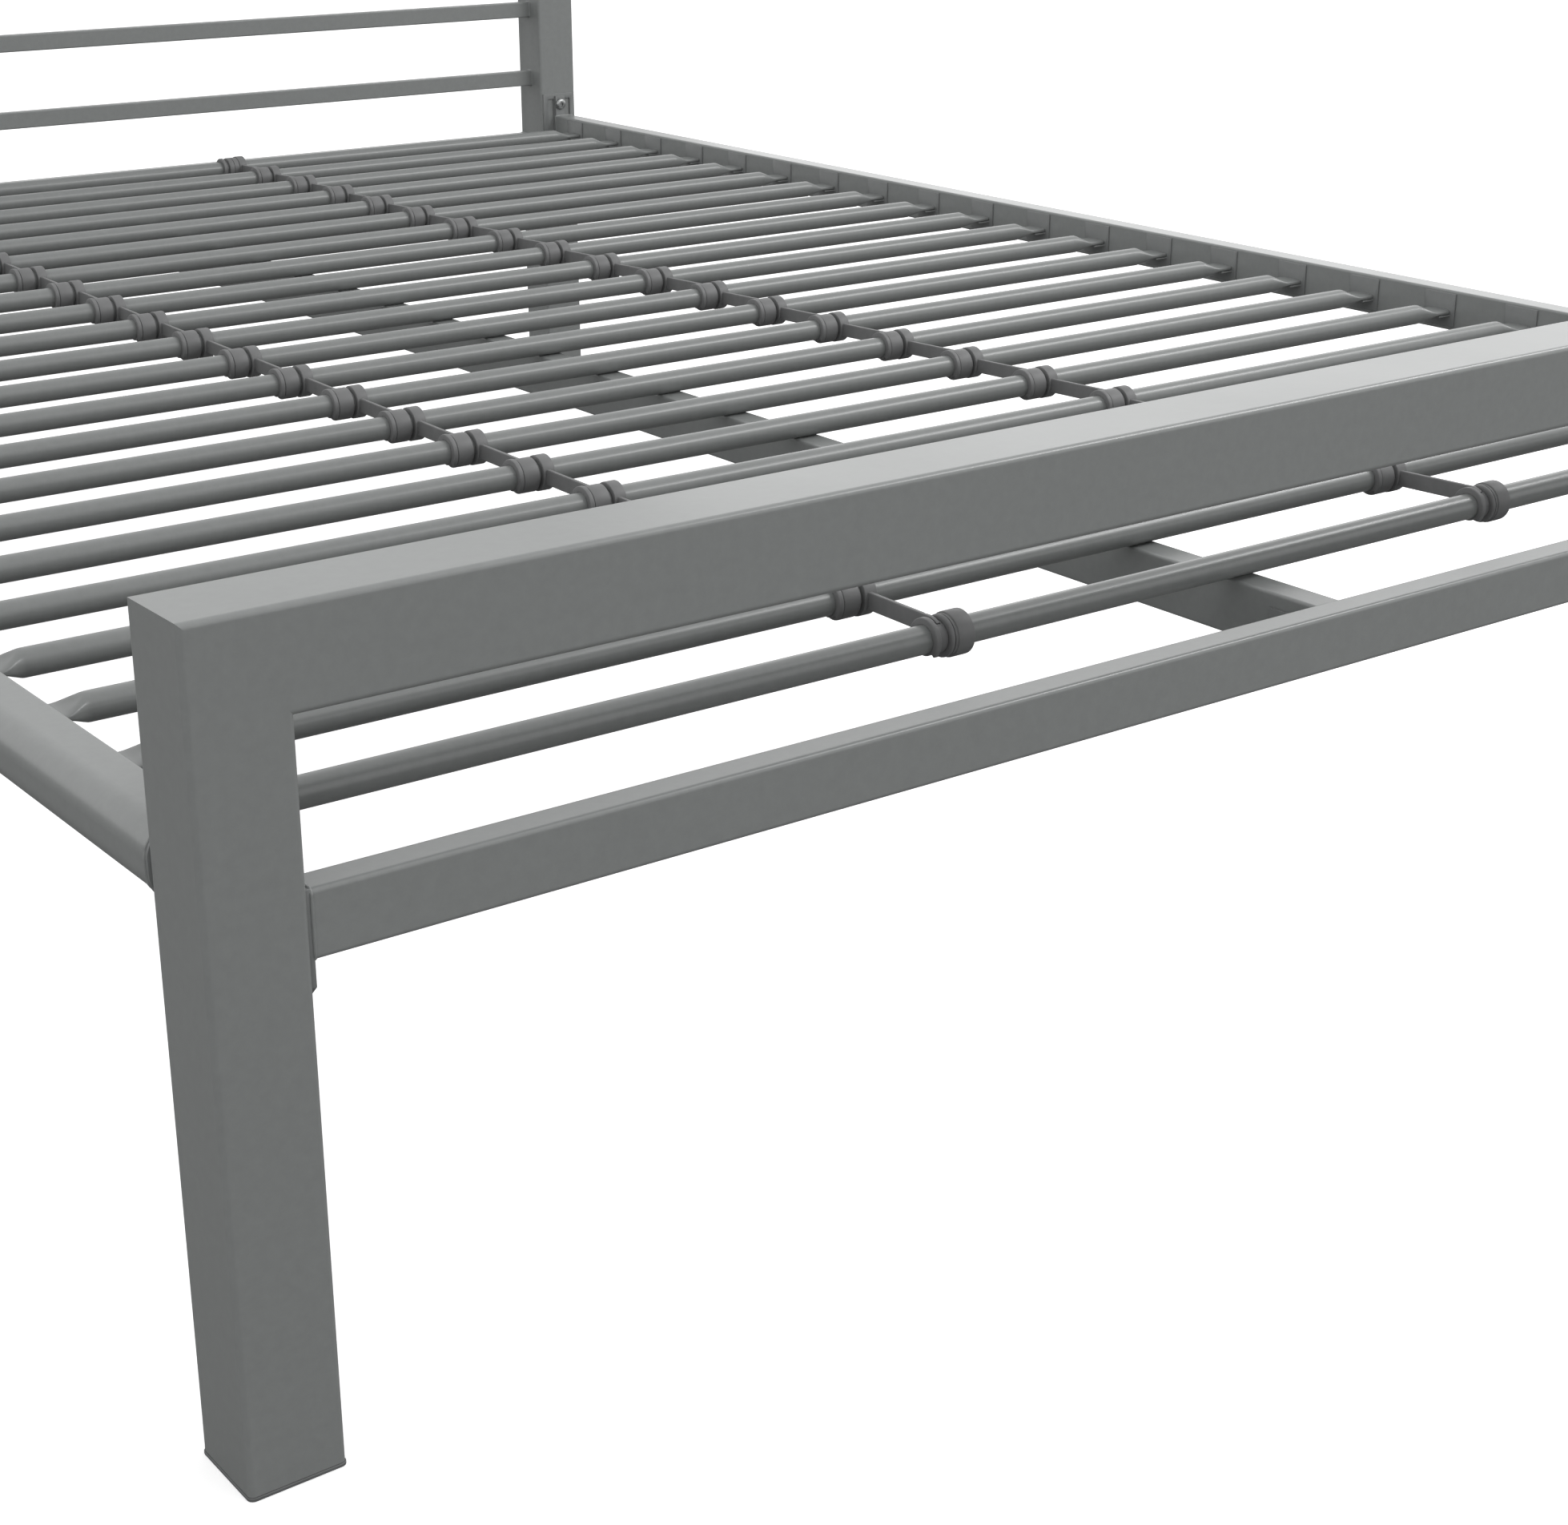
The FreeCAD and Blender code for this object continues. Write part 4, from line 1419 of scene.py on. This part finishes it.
@dataclass
class Welds:
    """Small beads where tubes and plates are welded together."""

    beads: BeadTree
    bar_bead: float = 0.8 * MM
    rail_bead: float = 0.9 * MM
    ripple_share: float = 0.9
    ripple_pitch: float = 2.6 * MM
    cradle_margin: float = 2.0 * MM
    bracket_low: tuple[float, float] = (4.0 * MM, 22.0 * MM)
    bracket_high: tuple[float, float] = (24.0 * MM, 6.0 * MM)
    points: list[Vector] = field(default_factory=list)
    edges: list[tuple[int, int]] = field(default_factory=list)

    def build(self) -> None:
        """Make the beads of the headboard bars, and then those of the rails and plates."""
        for index in range(HEAD_BARS):
            self.cross_member(f"head_bar_{index + 1}", EndFrame.bar_radius)
        self.run("bar_welds", self.bar_bead)
        for end in End:
            self.cross_member(f"{end.word}_crossbar", EndFrame.crossbar_radius)
            for side in Side:
                self.bracket(end, side)
        for side in Side:
            low, high, middle = node_box(f"side_rail_{side.word}")
            section = Section(high.x - low.x, high.z - low.z, Rails.radii(side), 4)
            for y in (low.y, high.y):
                self.loop(Vector((middle.x, y, middle.z)), section, X)
        low, high, _ = node_box("centre_rail_cradles")
        heights = (low.z + self.cradle_margin, high.z - self.cradle_margin)
        for y in (low.y, high.y):
            for x in (low.x, high.x):
                self.line([Vector((x, y, z)) for z in heights])
        self.run("frame_welds", self.rail_bead)

    def cross_member(self, node: str, radius: float) -> None:
        """Add the paths round both ends of a tube across the bed.

        Args:
            node: The tube's CAD node.
            radius: Radius of its corners.
        """
        low, high, middle = node_box(node)
        section = Section.even(high.y - low.y, high.z - low.z, radius, 2)
        for x in (low.x, high.x):
            self.loop(Vector((x, middle.y, middle.z)), section, Y)

    def loop(self, centre: Vector, section: Section, across: Vector) -> None:
        """Add a closed path round a section.

        Args:
            centre: Centre of the section at the member's end.
            section: The member's section.
            across: Direction of the section's width.
        """
        start = len(self.points)
        ring = [centre + across * a + Z * b for a, b in section.outline()]
        self.points.extend(ring)
        count = len(ring)
        self.edges.extend((start + index, start + (index + 1) % count) for index in range(count))

    def line(self, ends: Sequence[Vector]) -> None:
        """Add an open path."""
        start = len(self.points)
        self.points.extend(ends)
        self.edges.extend((start + index, start + index + 1) for index in range(len(ends) - 1))

    def bracket(self, end: End, side: Side) -> None:
        """Add the beads at the edges of one post bracket."""
        low, high, _ = node_box(f"{end.word}_post_brackets")
        post_low, post_high, post = node_box(f"{end.word}_post_{side.word}")
        face = post_high.y if end is End.FOOT else post_low.y
        half = (high.x - post.x) if side is Side.RIGHT else (post.x - low.x)
        for across in (-half, half):
            self.line([Vector((post.x + across, face, low.z + rise)) for rise in self.bracket_low])
            self.line([Vector((post.x + across, face, high.z - drop)) for drop in self.bracket_high])

    def run(self, name: str, radius: float) -> None:
        """Turn the paths so far into one piece of beads.

        Args:
            name: The piece's name.
            radius: Radius of the beads.
        """
        made = self.beads.run(
            host_of(self.points, self.edges), name, Slot.FRAME_PAINT,
            Bead_Radius=radius, Ripple=self.ripple_share * radius, Pitch=self.ripple_pitch, Seed=19,
        )
        self.points, self.edges = [], []
        seat(made, [])


# ---------------------------------------------------------------- studio


@dataclass
class Studio:
    """Pale floor, soft light and the camera."""

    camera_place: Vector = field(default_factory=lambda: Vector((-1.1680, -2.0147, 0.7745)))
    yaw: float = 36.91
    pitch: float = -20.91
    focal_length: float = 61.34
    floor_size: float = 40.0
    floor_colour: Colour = (0.93, 0.93, 0.93)
    floor_bounce: Colour = (0.16, 0.16, 0.16)
    floor_lift: float = 0.45
    horizon: float = 1.0
    zenith: float = 0.80
    fade_start: float = 0.25
    aim: Vector = field(default_factory=lambda: Vector((0.0, 0.0, 0.3)))

    def build(self) -> None:
        """Set up everything round the bed."""
        self.camera()
        self.world()
        self.floor()
        self.softbox("strip_softbox", place=Vector((2.3, -1.7, 2.7)), size=(2.4, 0.45), power=35.0)
        self.softbox("low_softbox", place=Vector((3.6, 2.0, 1.25)), size=(3.6, 1.7), power=12.0)
        scene = bpy.context.scene
        scene.view_settings.view_transform = "Standard"
        scene.view_settings.look = "None"

    def camera(self) -> None:
        """Make the camera."""
        data = bpy.data.cameras.new("camera")
        data.sensor_width = 36.0
        data.lens = self.focal_length
        data.clip_end = 100.0
        made = new_object("camera", data)
        yaw, pitch = math.radians(self.yaw), math.radians(self.pitch)
        forward = Vector((
            math.sin(yaw) * math.cos(pitch), math.cos(yaw) * math.cos(pitch), math.sin(pitch)
        ))
        made.location = self.camera_place
        made.rotation_mode = "QUATERNION"
        made.rotation_quaternion = forward.to_track_quat("-Z", "Y")
        bpy.context.scene.camera = made

    def world(self) -> None:
        """Make the white surroundings, brightest at the horizon."""
        world = bpy.data.worlds.new("studio")
        world.use_nodes = True
        bench = Bench(world.node_tree)
        backdrop = bench.tree.nodes["Background"]
        backdrop.inputs["Color"].default_value = (1.0, 1.0, 1.0, 1.0)
        direction = bench.node("ShaderNodeTexCoord")
        parts = bench.node("ShaderNodeSeparateXYZ", Vector=direction.outputs["Generated"])
        height = bench.node(
            "ShaderNodeMapRange",
            Value=parts.outputs["Z"], From_Min=self.fade_start, To_Min=self.horizon, To_Max=self.zenith,
        )
        bench.fill(backdrop.inputs["Strength"], height.outputs["Result"])
        bpy.context.scene.world = world

    def floor(self) -> None:
        """Make the pale floor, which throws back only a little light."""
        half = self.floor_size / 2
        mesh = bpy.data.meshes.new("floor")
        corners = [(-half, -half, 0), (half, -half, 0), (half, half, 0), (-half, half, 0)]
        mesh.from_pydata(corners, [], [(0, 1, 2, 3)])
        bench = FinishBench("floor_paper")
        seen = bench.node("ShaderNodeLightPath").outputs["Is Camera Ray"]
        lift = bench.node("ShaderNodeMapRange", Value=seen, To_Max=self.floor_lift)
        bench.settle(
            Base_Color=bench.blend(seen, self.floor_bounce, self.floor_colour), Roughness=0.9,
            Emission_Color=(1.0, 1.0, 1.0, 1.0), Emission_Strength=lift.outputs["Result"],
        )
        mesh.materials.append(bench.material)
        new_object("floor", mesh)

    def softbox(self, name: str, place: Vector, size: tuple[float, float], power: float) -> None:
        """Make an area light that faces the middle of the bed.

        Args:
            name: The light's name.
            place: Where it stands.
            size: Its width and height.
            power: Its power in watts.
        """
        data = bpy.data.lights.new(name, "AREA")
        data.shape = "RECTANGLE"
        data.size, data.size_y = size
        data.energy = power
        made = new_object(name, data)
        made.location = place
        made.rotation_mode = "QUATERNION"
        made.rotation_quaternion = (self.aim - place).to_track_quat("-Z", "Y")
        made.visible_camera = False


def main() -> None:
    """Build the whole bed and its studio in order."""
    logging.basicConfig(level=logging.INFO, format="%(name)s %(message)s")
    rows = RowTree()
    for part in (
        Studio(), EndFrame(End.FOOT), EndFrame(End.HEAD, bar_count=HEAD_BARS), Rails(), Plates(),
        SlatDeck(rows), LinkRows(rows), Bolts(ScatterTree()), FootCaps(), Welds(BeadTree()),
    ):
        log.info("building %s", type(part).__name__)
        part.build()


if __name__ == "__main__":
    main()
